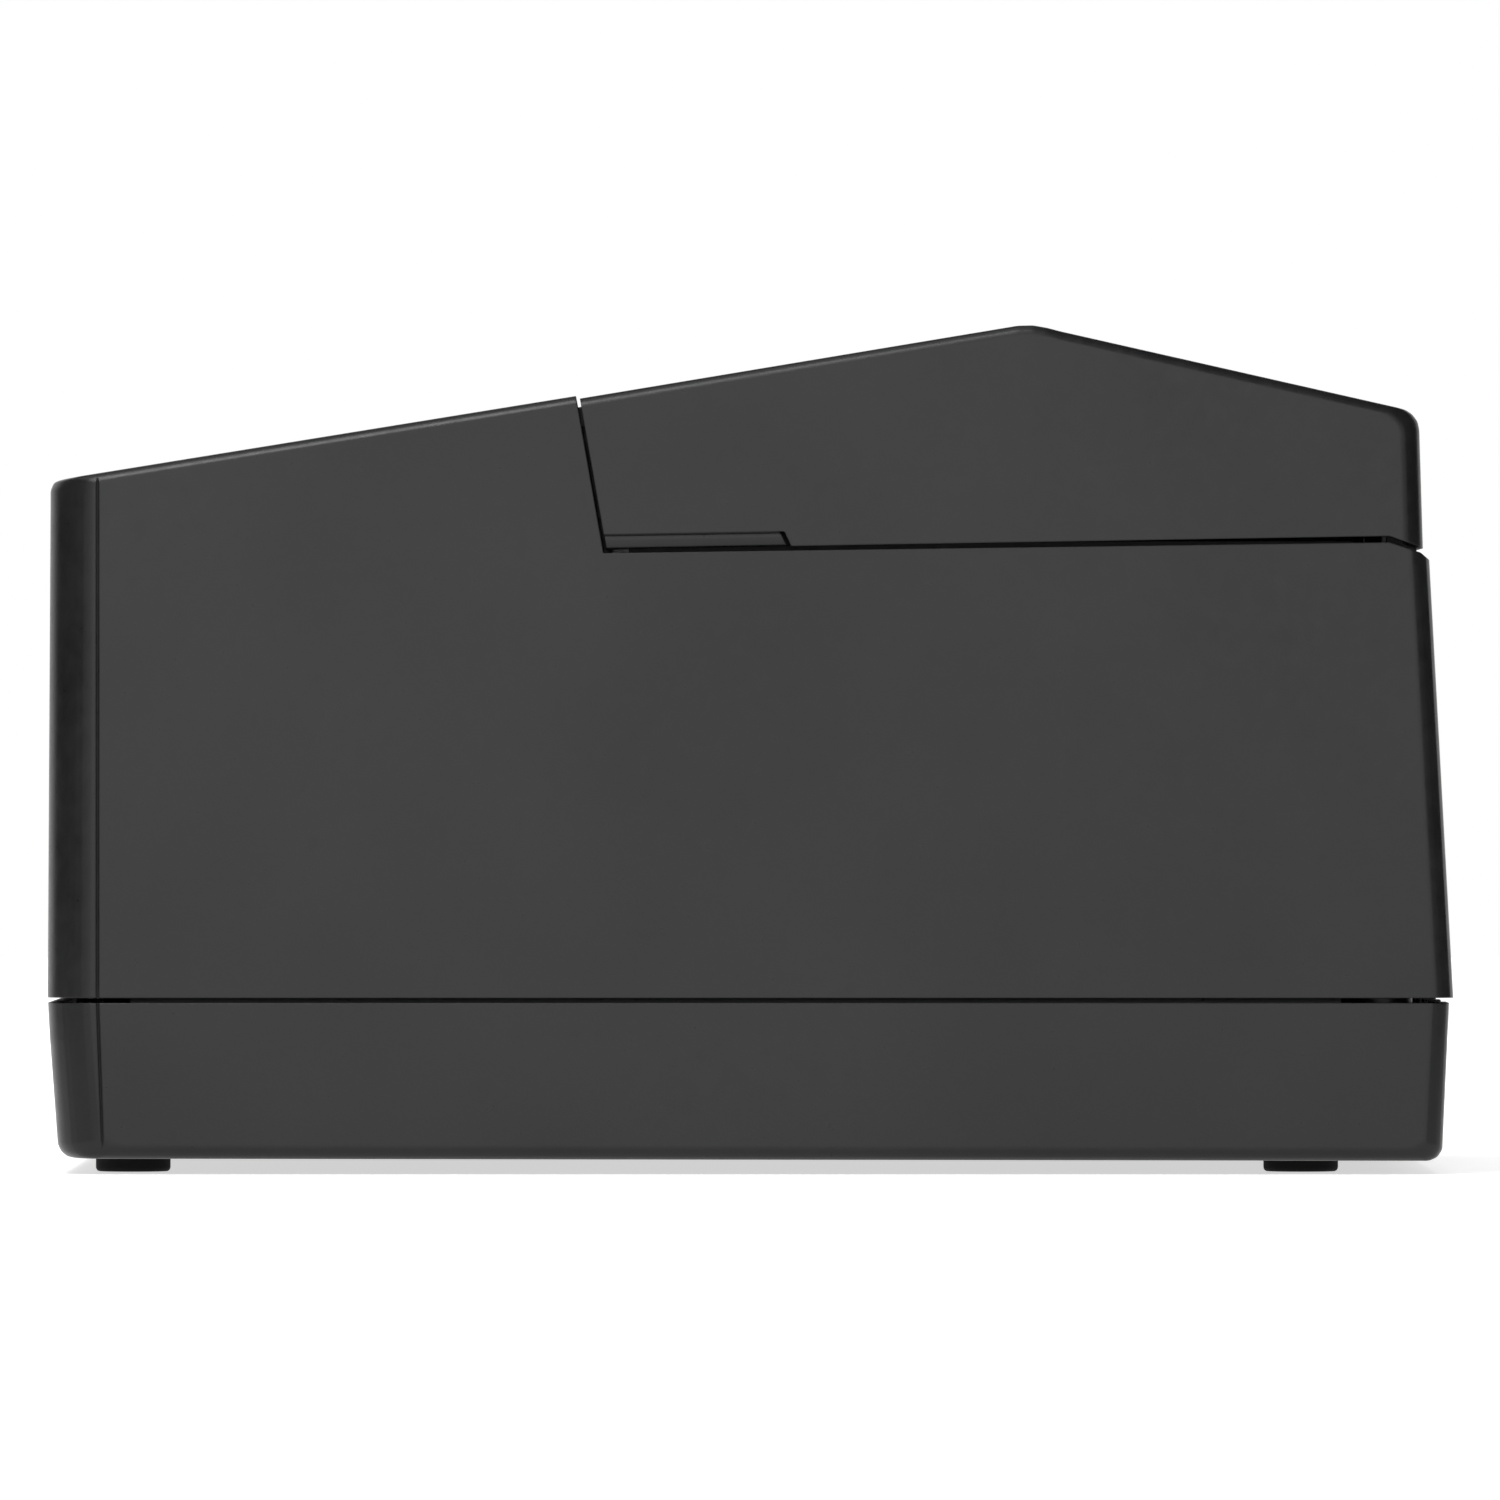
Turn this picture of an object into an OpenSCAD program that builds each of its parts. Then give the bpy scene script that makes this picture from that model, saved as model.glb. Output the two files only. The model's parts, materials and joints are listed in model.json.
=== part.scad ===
// Desktop receipt printer with a clamshell lid.
// Millimetres. Front is -Y, rear is +Y, up is +Z, and the feet stand on Z = 0.

/* [Case] */
// Width of the case
width = 145; // [142:1:152]
// Depth of the case at its foot
depth = 195; // [194:1:204]
// Height of the seam between tray and case
tray_seam = 24.3; // [24.1:0.1:24.8]
// Open line left between tray and case
tray_gap = 0.7; // [0.4:0.1:0.9]
// How far the front edge lies below the ridge
front_drop = 20.5; // [20.1:0.1:21.1]
// Height of the lid at its ridge
ridge_high = 117.5; // [116.5:0.5:121]
// Where the ridge lies, front to back
ridge_y = 38; // [34:1:42]
// Wall thickness of tray and case
wall = 2.4; // [2:0.1:2.6]
// Wall thickness of the lid
lid_wall = 2.2; // [1.8:0.1:2.4]
// Radius of the two front corners in plan
front_round = 6.5; // [5:0.5:8]
// Radius of the two rear corners in plan
rear_round = 3; // [2.6:0.2:4]
// Rounding along the top edges
edge_round = 1.4; // [0.8:0.2:1.8]

/* [Lid seam] */
// Where the slanted seam meets the level seam, front to back
seam_y = -20.1; // [-20.6:0.1:-19.6]
// How far that meeting point lies below the ridge
seam_drop = 31.3; // [30.9:0.1:31.5]
// Lean of the slanted seam
slant = 10; // [9.6:0.1:10.4]
// Open line left in the slanted seam
lid_gap = 0.5; // [0.4:0.1:0.7]
// Hinge line in front of the rear face
hinge_in = 6.3; // [6.1:0.1:6.5]
// How far the hinge line lies below the ridge
hinge_drop = 34.5; // [34.3:0.1:34.7]
// Hinge pin diameter
hinge_pin = 2; // [1.6:0.1:2.2]
// Running gap around pins
run_gap = 0.04; // [0.02:0.01:0.08]
// Sideways place of the hinge arms
arm_x = 52; // [48:1:56]
// Width of a hinge arm
arm_wide = 6; // [5:0.5:7]

/* [Finger notch] */
// Length of the notch
notch_long = 25.6; // [20:0.2:30]
// Height of the notch
notch_high = 2.7; // [2.2:0.1:3.2]
// How deep the notch is let in
notch_deep = 1.5; // [1.2:0.1:1.7]

/* [Paper roll bucket] */
// Radius of the bucket
bucket_r = 43; // [41:0.5:43.5]
// Inside width of the bucket
bucket_wide = 84; // [81:0.5:85]
// Bucket centre, front to back
bucket_y = 38; // [37.5:0.5:39]
// How far the middle of the roll lies below the ridge
bucket_drop = 46.5; // [45.5:0.2:46.9]
// Thickness of the bucket
bucket_wall = 2; // [1.6:0.1:2.2]

/* [Printing mechanism] */
// Platen roller diameter
platen_dia = 11; // [10.6:0.1:11.2]
// Length of the rubber on the platen
platen_long = 82; // [78:1:83]
// Platen shaft diameter
shaft_dia = 5; // [4:0.5:5]
// Platen centre behind the seam
platen_back = 2.5; // [2.4:0.1:2.6]
// Platen centre above the seam corner, along the seam
platen_up = 8; // [7.9:0.1:8.1]
// Outside diameter of the platen bushes
bush_dia = 8; // [7:0.5:8]
// Inside face of the mechanism side plates
plate_x = 48; // [47.5:0.5:48.5]
// Thickness of the side plates
plate_t = 2; // [1.6:0.1:2]
// Travel of the cutter blade
cut_travel = 9.5; // [8:0.5:10]
// Thickness of the blades
blade_t = 0.5; // [0.4:0.1:0.6]

/* [Gears] */
// Module of the feed gears
feed_m = 0.6; // [0.56:0.01:0.62]
// Teeth on the platen gear
platen_teeth = 18; // [18:1:18]
// Teeth on the idler gear
idler_teeth = 30; // [30:1:30]
// Teeth on the feed motor pinion
feed_teeth = 12; // [12:1:12]
// Module of the cutter gears
cut_m = 0.5; // [0.48:0.01:0.52]
// Teeth on the rack pinions
rack_teeth = 16; // [16:1:16]
// Teeth on the cutter shaft gear
cut_teeth = 30; // [30:1:30]
// Teeth on the cutter motor pinion
cutm_teeth = 12; // [12:1:12]

/* [Controls and sockets] */
// Feed button length
button_long = 15; // [12:0.5:17]
// Feed button width
button_wide = 7.5; // [6:0.5:9]
// Travel of the feed button
button_travel = 0.5; // [0.3:0.1:0.6]
// Tilt of the power rocker to each side
rocker_tilt = 8; // [5:1:9]
// Top face of the main board
board_top = 9.8; // [9.4:0.1:10]
// Gap around sockets in the rear wall
socket_gap = 0.3; // [0.2:0.1:0.5]

/* [Feet and screws] */
// Diameter of the rubber feet
foot_dia = 10.8; // [9:0.2:12]
// Sideways place of the feet
foot_x = 56; // [52:1:57]
// Case screw diameter
screw_dia = 3; // [2.5:0.1:3.2]
// Case screw head diameter
head_dia = 5.8; // [5:0.2:6.2]

/* [Hidden] */
$fn = 48;
half = width / 2;
fy = -depth / 2;
ry = depth / 2;
rise = 9.19;
slope_y = -24.2;
front_high = ridge_high - front_drop;
seam_z = ridge_high - seam_drop;
hinge_z = ridge_high - hinge_drop;
bucket_z = ridge_high - bucket_drop;
// Top of the inner frame under the lid
flange_top = ridge_high - 33.1;
slope_z = front_high + 10.7;
hinge_y = ry - hinge_in;
tray_top = tray_seam - tray_gap;
deck_low = -16.4;
deck_high = -14;
platen_r = platen_dia / 2;
bush_r = bush_dia / 2;
blade_z = 14.8;
fixed_top = blade_z - 0.05;
feed_rp = feed_m * platen_teeth / 2;
feed_ri = feed_m * idler_teeth / 2;
feed_rm = feed_m * feed_teeth / 2;
rack_r = cut_m * rack_teeth / 2;
cut_rg = cut_m * cut_teeth / 2;
cut_rm = cut_m * cutm_teeth / 2;
idler_a = 220;
idler_y = platen_back + (feed_rp + feed_ri) * cos(idler_a);
idler_z = platen_up + (feed_rp + feed_ri) * sin(idler_a);
motor_y = idler_y - feed_ri - feed_rm;
motor_z = idler_z;
cshaft_y = -36;
rack_line = 12.2;
cshaft_z = rack_line - rack_r;
cmotor_a = 235;
cmotor_y = cshaft_y + (cut_rg + cut_rm) * cos(cmotor_a);
cmotor_z = cshaft_z + (cut_rg + cut_rm) * sin(cmotor_a);
tab_x = 63;
case_screw_x = half - 9;
case_screw_front = fy + 21.5;
case_screw_rear = ry - 9.5;
foot_front = fy + 11.6;
foot_rear = ry - 20.8;
// Half width of the main board, and where its posts stand
board_half = half - 14.5;
post_x = half - 20.5;
post_front = fy + 53.5;
post_rear = ry - 31.5;
shell_black = [0.16, 0.16, 0.17];
inner_black = [0.22, 0.22, 0.23];
steel = [0.72, 0.73, 0.75];
bright = [0.82, 0.82, 0.8];
rubber = [0.08, 0.08, 0.08];
acetal = [0.9, 0.9, 0.86];
board_green = [0.08, 0.35, 0.2];
copper = [0.75, 0.5, 0.25];

// Depth lost at distance d from a side plane by a corner of radius r
function lost(d, r) = d >= r ? 0 : r - sqrt(r * r - (r - d) * (r - d));

// Moves one outline point where the corners and edges turn in: the point is
// [y, z, share of front corner, share of rear corner, then the climb with each, and the edge drop]
function turned(p, f, r, e) = [
  p[0] + p[2] * f - p[3] * r,
  p[1] + p[4] * f - p[5] * r - p[6] * e
];

// A point of the slanted frame seen from the side
function mech_point(y, z) = [
  seam_y + y * cos(slant) - z * sin(slant),
  seam_z + y * sin(slant) + z * cos(slant)
];

// Outline of a straight toothed wheel
function wheel_points(m, z) =
  let (r = m * z / 2, low = r - 1.2 * m, high = r + 0.95 * m)
  let (wl = 57.3 * 1.02 * m / low, wh = 57.3 * 0.32 * m / high)
  [for (k = [0:z - 1], q = [0:3])
    let (a = 360 * k / z + [-wl, -wh, wh, wl][q], s = [low, high, high, low][q])
    [s * cos(a), s * sin(a)]];

// Turns a Y-Z drawing into a solid running along X
module along_x(x, long) {
  translate([x, 0, 0])
    rotate([90, 0, 90])
      linear_extrude(long)
        children();
}

// Box given by its low and high corners
module box(a, b) {
  translate(a)
    cube(b - a);
}

// Round bar along X
module bar_x(x, long, y, z, r) {
  translate([x, y, z])
    rotate([0, 90, 0])
      cylinder(h = long, r = r);
}

// Round bar along Y
module bar_y(x, y, long, z, r) {
  translate([x, y, z])
    rotate([-90, 0, 0])
      cylinder(h = long, r = r);
}

// Frame leaning with the slanted seam
module mech() {
  translate([0, seam_y, seam_z])
    rotate([slant, 0, 0])
      children();
}

// Frame lying on the front slope
module slope() {
  translate([0, slope_y, slope_z])
    rotate([rise, 0, 0])
      children();
}

// Closed skin with rounded corners and edges
module skin(outline, w, rf, rr, re) {
  hull()
    for (d = [0, 0.25, 0.8, 1.6, 3, 6.5], s = [-1, 1])
      along_x(s * (w - d) - (s > 0 ? 0.02 : 0), 0.02)
        polygon([for (p = outline) turned(p, lost(d, rf), lost(d, rr), lost(d, re))]);
}

// Height of the front slope, carried on over the whole case
function slope_at(y) = slope_z + (y - slope_y) * tan(rise);

climb = tan(rise);
tray_outline = [
  [fy + 4, 2, 1, 0, 0, 0, -1], [ry - 3.3, 1.7, 0, 1, 0, 0, -1], [ry - 2.2, 2.2, 0, 1, 0, 0, -1],
  [ry - 1.5, 3.3, 0, 1, 0, 0, -0.6], [ry - 0.07, 34, 0, 1, 0, 0, 0],
  [fy - 0.5, 34, 1, 0, 0, 0, 0], [fy + 0.3, 18.6, 1, 0, 0, 0, 0],
  [fy + 1.4, 3.9, 1, 0, 0, 0, -0.6], [fy + 1.9, 2.9, 1, 0, 0, 0, -1], [fy + 2.7, 2.25, 1, 0, 0, 0, -1]
];
tray_inside = [
  [fy + 1.7 + wall, 2 + wall, 1, 0, 0, 0, -1], [ry - 1.5 - wall, 2 + wall, 0, 1, 0, 0, -1],
  [ry - 0.07 - wall, 34, 0, 1, 0, 0, 0], [fy - 0.9 + wall, 34, 1, 0, 0, 0, 0]
];
case_outline = [
  [fy - 0.05, 16, 1, 0, 0, 0, 0], [ry + 0.46, 16, 0, 1, 0, 0, 0],
  [ry - 5.6, slope_at(ry - 5.6), 0, 1, 0, climb, 1],
  [fy + 1.9, slope_at(fy + 1.9), 1, 0, climb, 0, 1],
  [fy + 0.85, slope_at(fy + 1.9) - 0.4, 1, 0, climb, 0, 1],
  [fy + 0.4, slope_at(fy + 1.9) - 1.5, 1, 0, climb, 0, 0.8]
];
case_inside = [
  [fy + wall - 0.1, 8, 1, 0, 0, 0, 0], [ry + 0.9 - wall, 8, 0, 1, 0, 0, 0],
  [ry - 5.6 - wall, slope_at(ry - 5.6 - wall) - wall, 0, 1, 0, climb, 1],
  [fy + wall + 0.5, slope_at(fy + wall + 0.5) - wall, 1, 0, climb, 0, 1]
];
lid_outline = [
  [-60, ridge_high - 41.5, 0, 0, 0, 0, 0], [ry - 3.88, ridge_high - 41.5, 0, 1, 0, 0, 0],
  [ry - 4.7, ridge_high - 14.5, 0, 1, 0, 0, 0.4],
  [ry - 4.95, ridge_high - 13.3, 0, 1, 0, 0, 0.7], [ry - 5.7, ridge_high - 12.3, 0, 1, 0, -0.1, 1],
  [ry - 6.6, ridge_high - 11.7, 0, 1, 0, -0.2, 1], [ry - 7.5, ridge_high - 11.46, 0, 1, 0, -0.227, 1],
  [ridge_y + 4.9, ridge_high - 0.8, 0, 0, 0, 0, 1], [ridge_y + 3.2, ridge_high - 0.35, 0, 0, 0, 0, 1],
  [ridge_y + 1.2, ridge_high, 0, 0, 0, 0, 1], [ridge_y - 0.9, ridge_high - 0.05, 0, 0, 0, 0, 1],
  [-60, ridge_high - 16.2, 0, 0, 0, 0, 1]
];
lid_inside = [
  [-62, ridge_high - 51.5, 0, 0, 0, 0, 0], [ry - 3.6 - lid_wall, ridge_high - 51.5, 0, 1, 0, 0, 0],
  [ry - 4.7 - lid_wall, ridge_high - 14.5, 0, 1, 0, 0, 1],
  [ry - 7.6, ridge_high - 11.5 - lid_wall, 0, 1, 0, -0.2, 1],
  [ridge_y + 1.2, ridge_high - lid_wall, 0, 0, 0, 0, 1], [-62, ridge_high - 16.5 - lid_wall, 0, 0, 0, 0, 1]
];
// Everything above the seam as the case sees it
lid_room = [
  mech_point(-lid_gap / 2, -lid_gap / 2), [ry - 8.9, ridge_high - 30.1], [ry - 4.6, ridge_high - 31.5],
  [ry - 3.3, ridge_high - 32.55], [ry + 6, ridge_high - 40.4],
  [ry + 6, ridge_high + 42.5], mech_point(-lid_gap / 2, 70)
];
// The lid between its own edges
lid_edges = [
  mech_point(lid_gap / 2, lid_gap / 2), [ry - 8.9, ridge_high - 29.2], [ry - 4.2, ridge_high - 30.9],
  [ry + 6, ridge_high - 30.9], [ry + 6, ridge_high + 42.5], mech_point(lid_gap / 2, 70)
];

module tray_skin() {
  skin(tray_outline, half, front_round, rear_round, 2);
}

module case_skin() {
  skin(case_outline, half, front_round, rear_round, edge_round);
}

module lid_skin() {
  skin(lid_outline, half, 1, rear_round, edge_round);
}

// Crease down each side where the front corner begins
module crease(low, high, y_low, y_high) {
  for (s = [-1, 1])
    translate([s * half, 0, 0])
      mirror([s > 0 ? 0 : 1, 0, 0])
        translate([0, y_low, low])
          rotate([-atan((y_high - y_low) / (high - low)), 0, 0])
            rotate([0, 0, 45])
              translate([-0.3, -0.3, -2])
                cube([0.6, 0.6, high - low + 4]);
}

module corners(x, front, rear) {
  for (s = [-1, 1], y = [front, rear])
    translate([s * x, y, 0])
      children();
}

socket_mouths = [
  [-49, -35, 22.8], [-30, -17, 22.8], [-10, 6, 23.2], [13, 25, 20.9], [34, 53, 22.8]
];

module bottom_case() {
  color(shell_black)
    difference() {
      union() {
        difference() {
          intersection() {
            tray_skin();
            box([-100, -110, 0], [100, 110, tray_top]);
          }
          skin(tray_inside, half - wall, 4.2, 1.2, 1);
        }
        // Tongue that reaches up behind the case wall
        for (s = [-1, 1])
          translate([s * (half - wall - 0.1 - 0.6), 0, 0])
            box([-0.6, fy + 11.5, 12], [0.6, ry - 15.5, tray_seam + 2.2]);
        box([12.5 - half, fy + wall + 0.3, 12], [half - 12.5, fy + wall + 1.5, tray_seam + 2.2]);
        for (s = [-1, 1])
          translate([s * (half - wall - 1), 0, 0])
            box([-1.4, fy + 13.5, 3.8], [1.4, ry - 17.5, 13]);
        box([14.5 - half, fy + wall - 0.2, 3.8], [half - 14.5, fy + wall + 1.4, 13]);
        corners(case_screw_x, case_screw_front, case_screw_rear)
          translate([0, 0, 3.8])
            cylinder(h = tray_seam - 3.8, r = 4);
        // Board posts
        corners(post_x, post_front, post_rear)
          translate([0, 0, 3.8])
            cylinder(h = board_top - 1.6 - 3.8, r = 3);
        // Floor ribs
        for (x = [-30, 0, 30])
          box([x - 0.8, fy + 9.5, 3.8], [x + 0.8, ry - 17.5, 6]);
        for (y = [-62, -18, 26])
          box([6.5 - half, y - 0.8, 3.8], [half - 6.5, y + 0.8, 6]);
      }
      corners(foot_x, foot_front, foot_rear)
        translate([0, 0, 1])
          cylinder(h = 1.9, r = foot_dia / 2);
      corners(case_screw_x, case_screw_front, case_screw_rear) {
        cylinder(h = 40, r = screw_dia / 2 + 0.2);
        translate([0, 0, -1])
          cylinder(h = 6.5, r = head_dia / 2 + 0.3);
      }
      corners(post_x, post_front, post_rear)
        translate([0, 0, 4.6])
          cylinder(h = 10, r = 1.1);
      // Mouths for the sockets
      for (m = socket_mouths)
        box([m[0] - socket_gap, ry - 8, board_top - 0.9], [m[1] + socket_gap, ry + 4, 40]);
      // Floor vents
      for (k = [-5:5])
        box([k * 9 - 1.2, 34, -1], [k * 9 + 1.2, 60, 8]);
      crease(0, tray_top, fy + 7.9, fy + 7.1);
    }
}

module upper_case() {
  color(shell_black)
    difference() {
      union() {
        difference() {
          case_skin();
          skin(case_inside, half - wall, 4.2, 1.2, 0.4);
          // Window for the front cover
          slope()
            box([-60.35, -64.35, -9], [60.35, 20, 9]);
        }
        // Ledges the front cover lies on
        slope() {
          for (s = [-1, 1])
            translate([s * 61.5, 0, 0]) {
              box([-3.5, -66, -4.2], [3.5, -4, -2.42]);
              translate([s * 1.5, 0, 0])
                box([-2, -66, -3.4], [2, -4, -1.2]);
            }
          box([-64, -66.6, -4.2], [64, -61.4, -2.42]);
          box([-64, -68, -3.4], [64, -65, -1.2]);
        }
        // Walls beside the mechanism at the slanted seam
        for (s = [-1, 1])
          translate([s * (half + 57.5 - wall) / 2, 0, 0])
            mech()
              box([-(half - 57.5 - wall) / 2 - 0.4, -2.6, -3], [(half - 57.5 - wall) / 2 + 0.4, -0.2, 19.4]);
        // Ledges and blocks under the inner frame
        for (s = [-1, 1])
          mech() {
            translate([s * (half - wall - 2), 0, 0])
              box([-2.4, -64, deck_low - 2.4], [2.4, -4, deck_low]);
            for (y = [-58, -16])
              translate([s * (half - wall - 4), y, 0])
                box([-4.4, -4, deck_low - 9], [4.4, 4, deck_low]);
          }
        for (s = [-1, 1])
          translate([s * (half - wall - 4), ry - 29.5, flange_top])
            box([-4.4, -4, -11.4], [4.4, 4, -2.4]);
        // Posts for the case screws
        corners(case_screw_x, case_screw_front, case_screw_rear)
          translate([0, 0, tray_seam])
            cylinder(h = 24, r = 4);
        for (s = [-1, 1], y = [case_screw_front, case_screw_rear - 2])
          translate([s * (half - wall - 3), y, 0])
            box([-3.2, -1, tray_seam + 4], [3.2, 1, tray_seam + 24]);
        // Hinge lugs
        for (s = [-1, 1], t = [-1, 1])
          translate([s * arm_x + t * (arm_wide / 2 + 2.2), 0, 0])
            along_x(-1.8, 3.6) {
              translate([hinge_y, hinge_z])
                circle(2.9);
              translate([hinge_y - 2.9, hinge_z - 8])
                square([4.4, 8]);
            }
      }
      box([-100, -110, -1], [100, 110, tray_seam]);
      along_x(-100, 200)
        polygon(lid_room);
      corners(case_screw_x, case_screw_front, case_screw_rear)
        translate([0, 0, tray_seam - 1])
          cylinder(h = 17, r = screw_dia / 2);
      // Room for the flange of the feed button
      slope()
        box([34.6, -62.9, -4.6], [53.4, -60, -2]);
      // Slots for the hinge arms and bores for their pins
      for (s = [-1, 1]) {
        box([s * arm_x - arm_wide / 2 - 0.4, hinge_y - 3, hinge_z - 3],
            [s * arm_x + arm_wide / 2 + 0.4, ry + 9, hinge_z + 20]);
        bar_x(s * arm_x - 6.8, 13.6, hinge_y, hinge_z, hinge_pin / 2);
      }
      // Screw holes for the inner frame
      mech()
        for (s = [-1, 1], y = [-58, -16])
          translate([s * (half - wall - 4), y, deck_low - 7])
            cylinder(h = 10, r = 1.25);
      for (s = [-1, 1])
        translate([s * (half - wall - 4), ry - 29.5, flange_top - 9.4])
          cylinder(h = 10, r = 1.25);
      crease(tray_seam, front_high, fy + 7.1, fy + 7.1);
    }
  // Fins that keep light out of the slanted seam, and tabs that guide the lid home
  color(shell_black)
    mech()
      for (s = [-1, 1]) {
        translate([s * 57.05, 0, 0])
          box([-0.45, -2.4, -2.8], [0.45, 0.9, 18.6]);
        translate([s * tab_x, 0, 0])
          box([-0.6, -2.2, 17.6], [0.6, 1, 20.4]);
      }
}

module front_cover() {
  color(shell_black)
    slope()
      difference() {
        union() {
          translate([0, 0, -2.4])
            linear_extrude(2.4)
              difference() {
                translate([-60, -64])
                  square([120, 63.5]);
                translate([-43, -4.6])
                  square([86, 20]);
              }
          // Stiffening ribs
          for (x = [-46, -20, 6])
            box([x - 0.8, -51, -4.4], [x + 0.8, -11, -0.6]);
          // Posts for the panel board
          for (x = [6, 55.5])
            translate([x, -58, -8.2])
              cylinder(h = 7, r = 2);
          // Spring tongues that hold the cover in its window
          for (x = [-40, -14]) {
            box([x - 5, -60.2, -5.6], [x + 5, -59, -1]);
            box([x - 5, -62.6, -5.6], [x + 5, -59.6, -4.5]);
          }
        }
        // Button and light windows
        translate([44, -57.5, -20])
          linear_extrude(40)
            rounded(button_long + 0.6, button_wide + 0.6);
        for (x = [14, 21, 28])
          translate([x, -57.5, -20])
            cylinder(h = 40, r = 1.6);
        for (x = [6, 55.5])
          translate([x, -58, -9])
            cylinder(h = 6, r = 0.9);
      }
}

// Flat shape with round ends
module rounded(long, wide) {
  square([long - wide, wide], center = true);
  for (s = [-1, 1])
    translate([s * (long - wide) / 2, 0])
      circle(wide / 2);
}

module lid() {
  color(shell_black)
    difference() {
      union() {
        intersection() {
          union() {
            difference() {
              lid_skin();
              skin(lid_inside, half - lid_wall, 1, 1, 0.4);
            }
            // Walls at the slanted seam beside the platen
            for (s = [-1, 1])
              translate([s * (half + 58 - lid_wall) / 2, 0, 0])
                mech()
                  box([-(half - 58 - lid_wall) / 2 - 0.4, 0, 0], [(half - 58 - lid_wall) / 2 + 0.4, 2.6, 19.8]);
            // Roof ribs
            for (x = [-63, -47.5, 47.5, 63])
              along_x(x - 0.8, 1.6)
                polygon([
                  [-8, ridge_high - 11.5], [ridge_y, ridge_high - 8], [ry - 7.2, ridge_high - 19],
                  [ry - 7.2, ridge_high - 12], [ridge_y, ridge_high - 1], [-8, ridge_high - 8.5]
                ]);
          }
          along_x(-100, 200)
            polygon(lid_edges);
        }
        // Hinge arms
        for (s = [-1, 1])
          along_x(s * arm_x - arm_wide / 2, arm_wide) {
            translate([hinge_y, hinge_z])
              circle(2.6);
            polygon([
              [hinge_y - 2.3, hinge_z], [hinge_y + 1.7, hinge_z], [hinge_y + 1.6, hinge_z + 7.5],
              [hinge_y - 0.6, hinge_z + 11.5], [hinge_y - 2.6, hinge_z + 7]
            ]);
          }
        // Bosses for the platen holder
        mech()
          for (x = [-34, -12, 12, 34])
            translate([x, 10, 14.15])
              cylinder(h = 5.7, r = 2.5);
      }
      for (s = [-1, 1])
        bar_x(s * arm_x - 5, 10, hinge_y, hinge_z, hinge_pin / 2 + run_gap);
      mech()
        for (x = [-34, -12, 12, 34])
          translate([x, 10, 13])
            cylinder(h = 5.5, r = 1);
      // Channels for the locating tabs, open below so that the lid can lift off
      mech()
        for (s = [-1, 1])
          translate([s * tab_x, 0, 0])
            box([-0.85, -1, -1], [0.85, 1.4, 20.9]);
      // Finger notches
      for (s = [-1, 1])
        translate([s * half, 0, 0])
          box([-notch_deep, seam_y - 4, seam_z - 4], [notch_deep, seam_y + notch_long, seam_z + 0.2 + notch_high]);
    }
  // Grip rails left standing in the notches
  color(shell_black)
    for (s = [-1, 1])
      bar_y(s * (half - notch_deep), seam_y + 0.9, notch_long - 2.4, seam_z + 1.6, 0.9);
}

module inner_frame() {
  side = half - wall - 0.2;
  color(inner_black)
    difference() {
      union() {
        box([-side, -9.4, flange_top - 2.4], [side, ry - 10.5, flange_top]);
        bar_x(-bucket_wide / 2 - bucket_wall, bucket_wide + 2 * bucket_wall,
          bucket_y, bucket_z, bucket_r + bucket_wall);
        box([-side, -9.4, flange_top - 15.9], [side, -6.2, flange_top]);
        mech()
          box([-side + 0.3, -70, deck_low], [side - 0.3, 9.2, deck_high]);
        // Ribs under the flange and beside the bucket
        for (x = [-57, 57])
          box([x - 0.8, -8, flange_top - 10.4], [x + 0.8, ry - 11.5, flange_top - 1.4]);
        for (y = [10, 66])
          for (s = [-1, 1])
            translate([s * (bucket_wide / 2 + bucket_wall + 6), y, 0])
              box([-6.5, -0.8, flange_top - 18.4], [6.5, 0.8, flange_top - 1.4]);
        // Deck ribs
        mech()
          for (x = [-30, 30])
            box([x - 0.8, -69, deck_low - 4], [x + 0.8, 8, deck_low + 1]);
      }
      bar_x(-bucket_wide / 2, bucket_wide, bucket_y, bucket_z, bucket_r);
      box([-100, -20, flange_top], [100, 120, flange_top + 56]);
      // Way through for the head cable
      mech()
        box([-21.5, -11, deck_low - 8], [21.5, -6.5, deck_high + 4]);
      mech()
        for (s = [-1, 1], y = [-58, -16])
          translate([s * (half - wall - 4), y, deck_low - 1])
            cylinder(h = 6, r = 1.45);
      mech()
        for (s = [-1, 1], y = [-42, 3.4])
          translate([s * 54, y, deck_low - 1])
            cylinder(h = 6, r = 1.1);
      for (s = [-1, 1])
        translate([s * (half - wall - 4), ry - 29.5, flange_top - 4.4])
          cylinder(h = 8, r = 1.45);
      // Window for the roll sensor
      bar_x(bucket_wide / 2 - 3, 6, bucket_y + 8, bucket_z - 29, 2.2);
    }
  // Lips that stand up behind the level seam
  color(inner_black)
    for (s = [-1, 1])
      translate([s * (side - 0.45), 0, 0]) {
        box([-0.45, -9.2, flange_top - 1], [0.45, ry - 14, flange_top + 3.2]);
        box([-0.45, -16.8, flange_top - 3], [0.45, -9, flange_top + 3.2]);
      }
}

module hinge_pins() {
  color(bright)
    for (s = [-1, 1])
      bar_x(s * arm_x - 6.6, 13.2, hinge_y, hinge_z, hinge_pin / 2);
}

module platen_roller() {
  color(rubber)
    mech()
      difference() {
        bar_x(-platen_long / 2, platen_long, platen_back, platen_up, platen_r);
        bar_x(-60, 120, platen_back, platen_up, shaft_dia / 2);
      }
}

module platen_shaft() {
  color(steel)
    mech() {
      bar_x(-50.6, 106.7, platen_back, platen_up, shaft_dia / 2);
      bar_x(56.1, 0.3, platen_back, platen_up, shaft_dia / 2 - 0.5);
      bar_x(-51.1, 0.5, platen_back, platen_up, shaft_dia / 2 - 0.5);
    }
}

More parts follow.
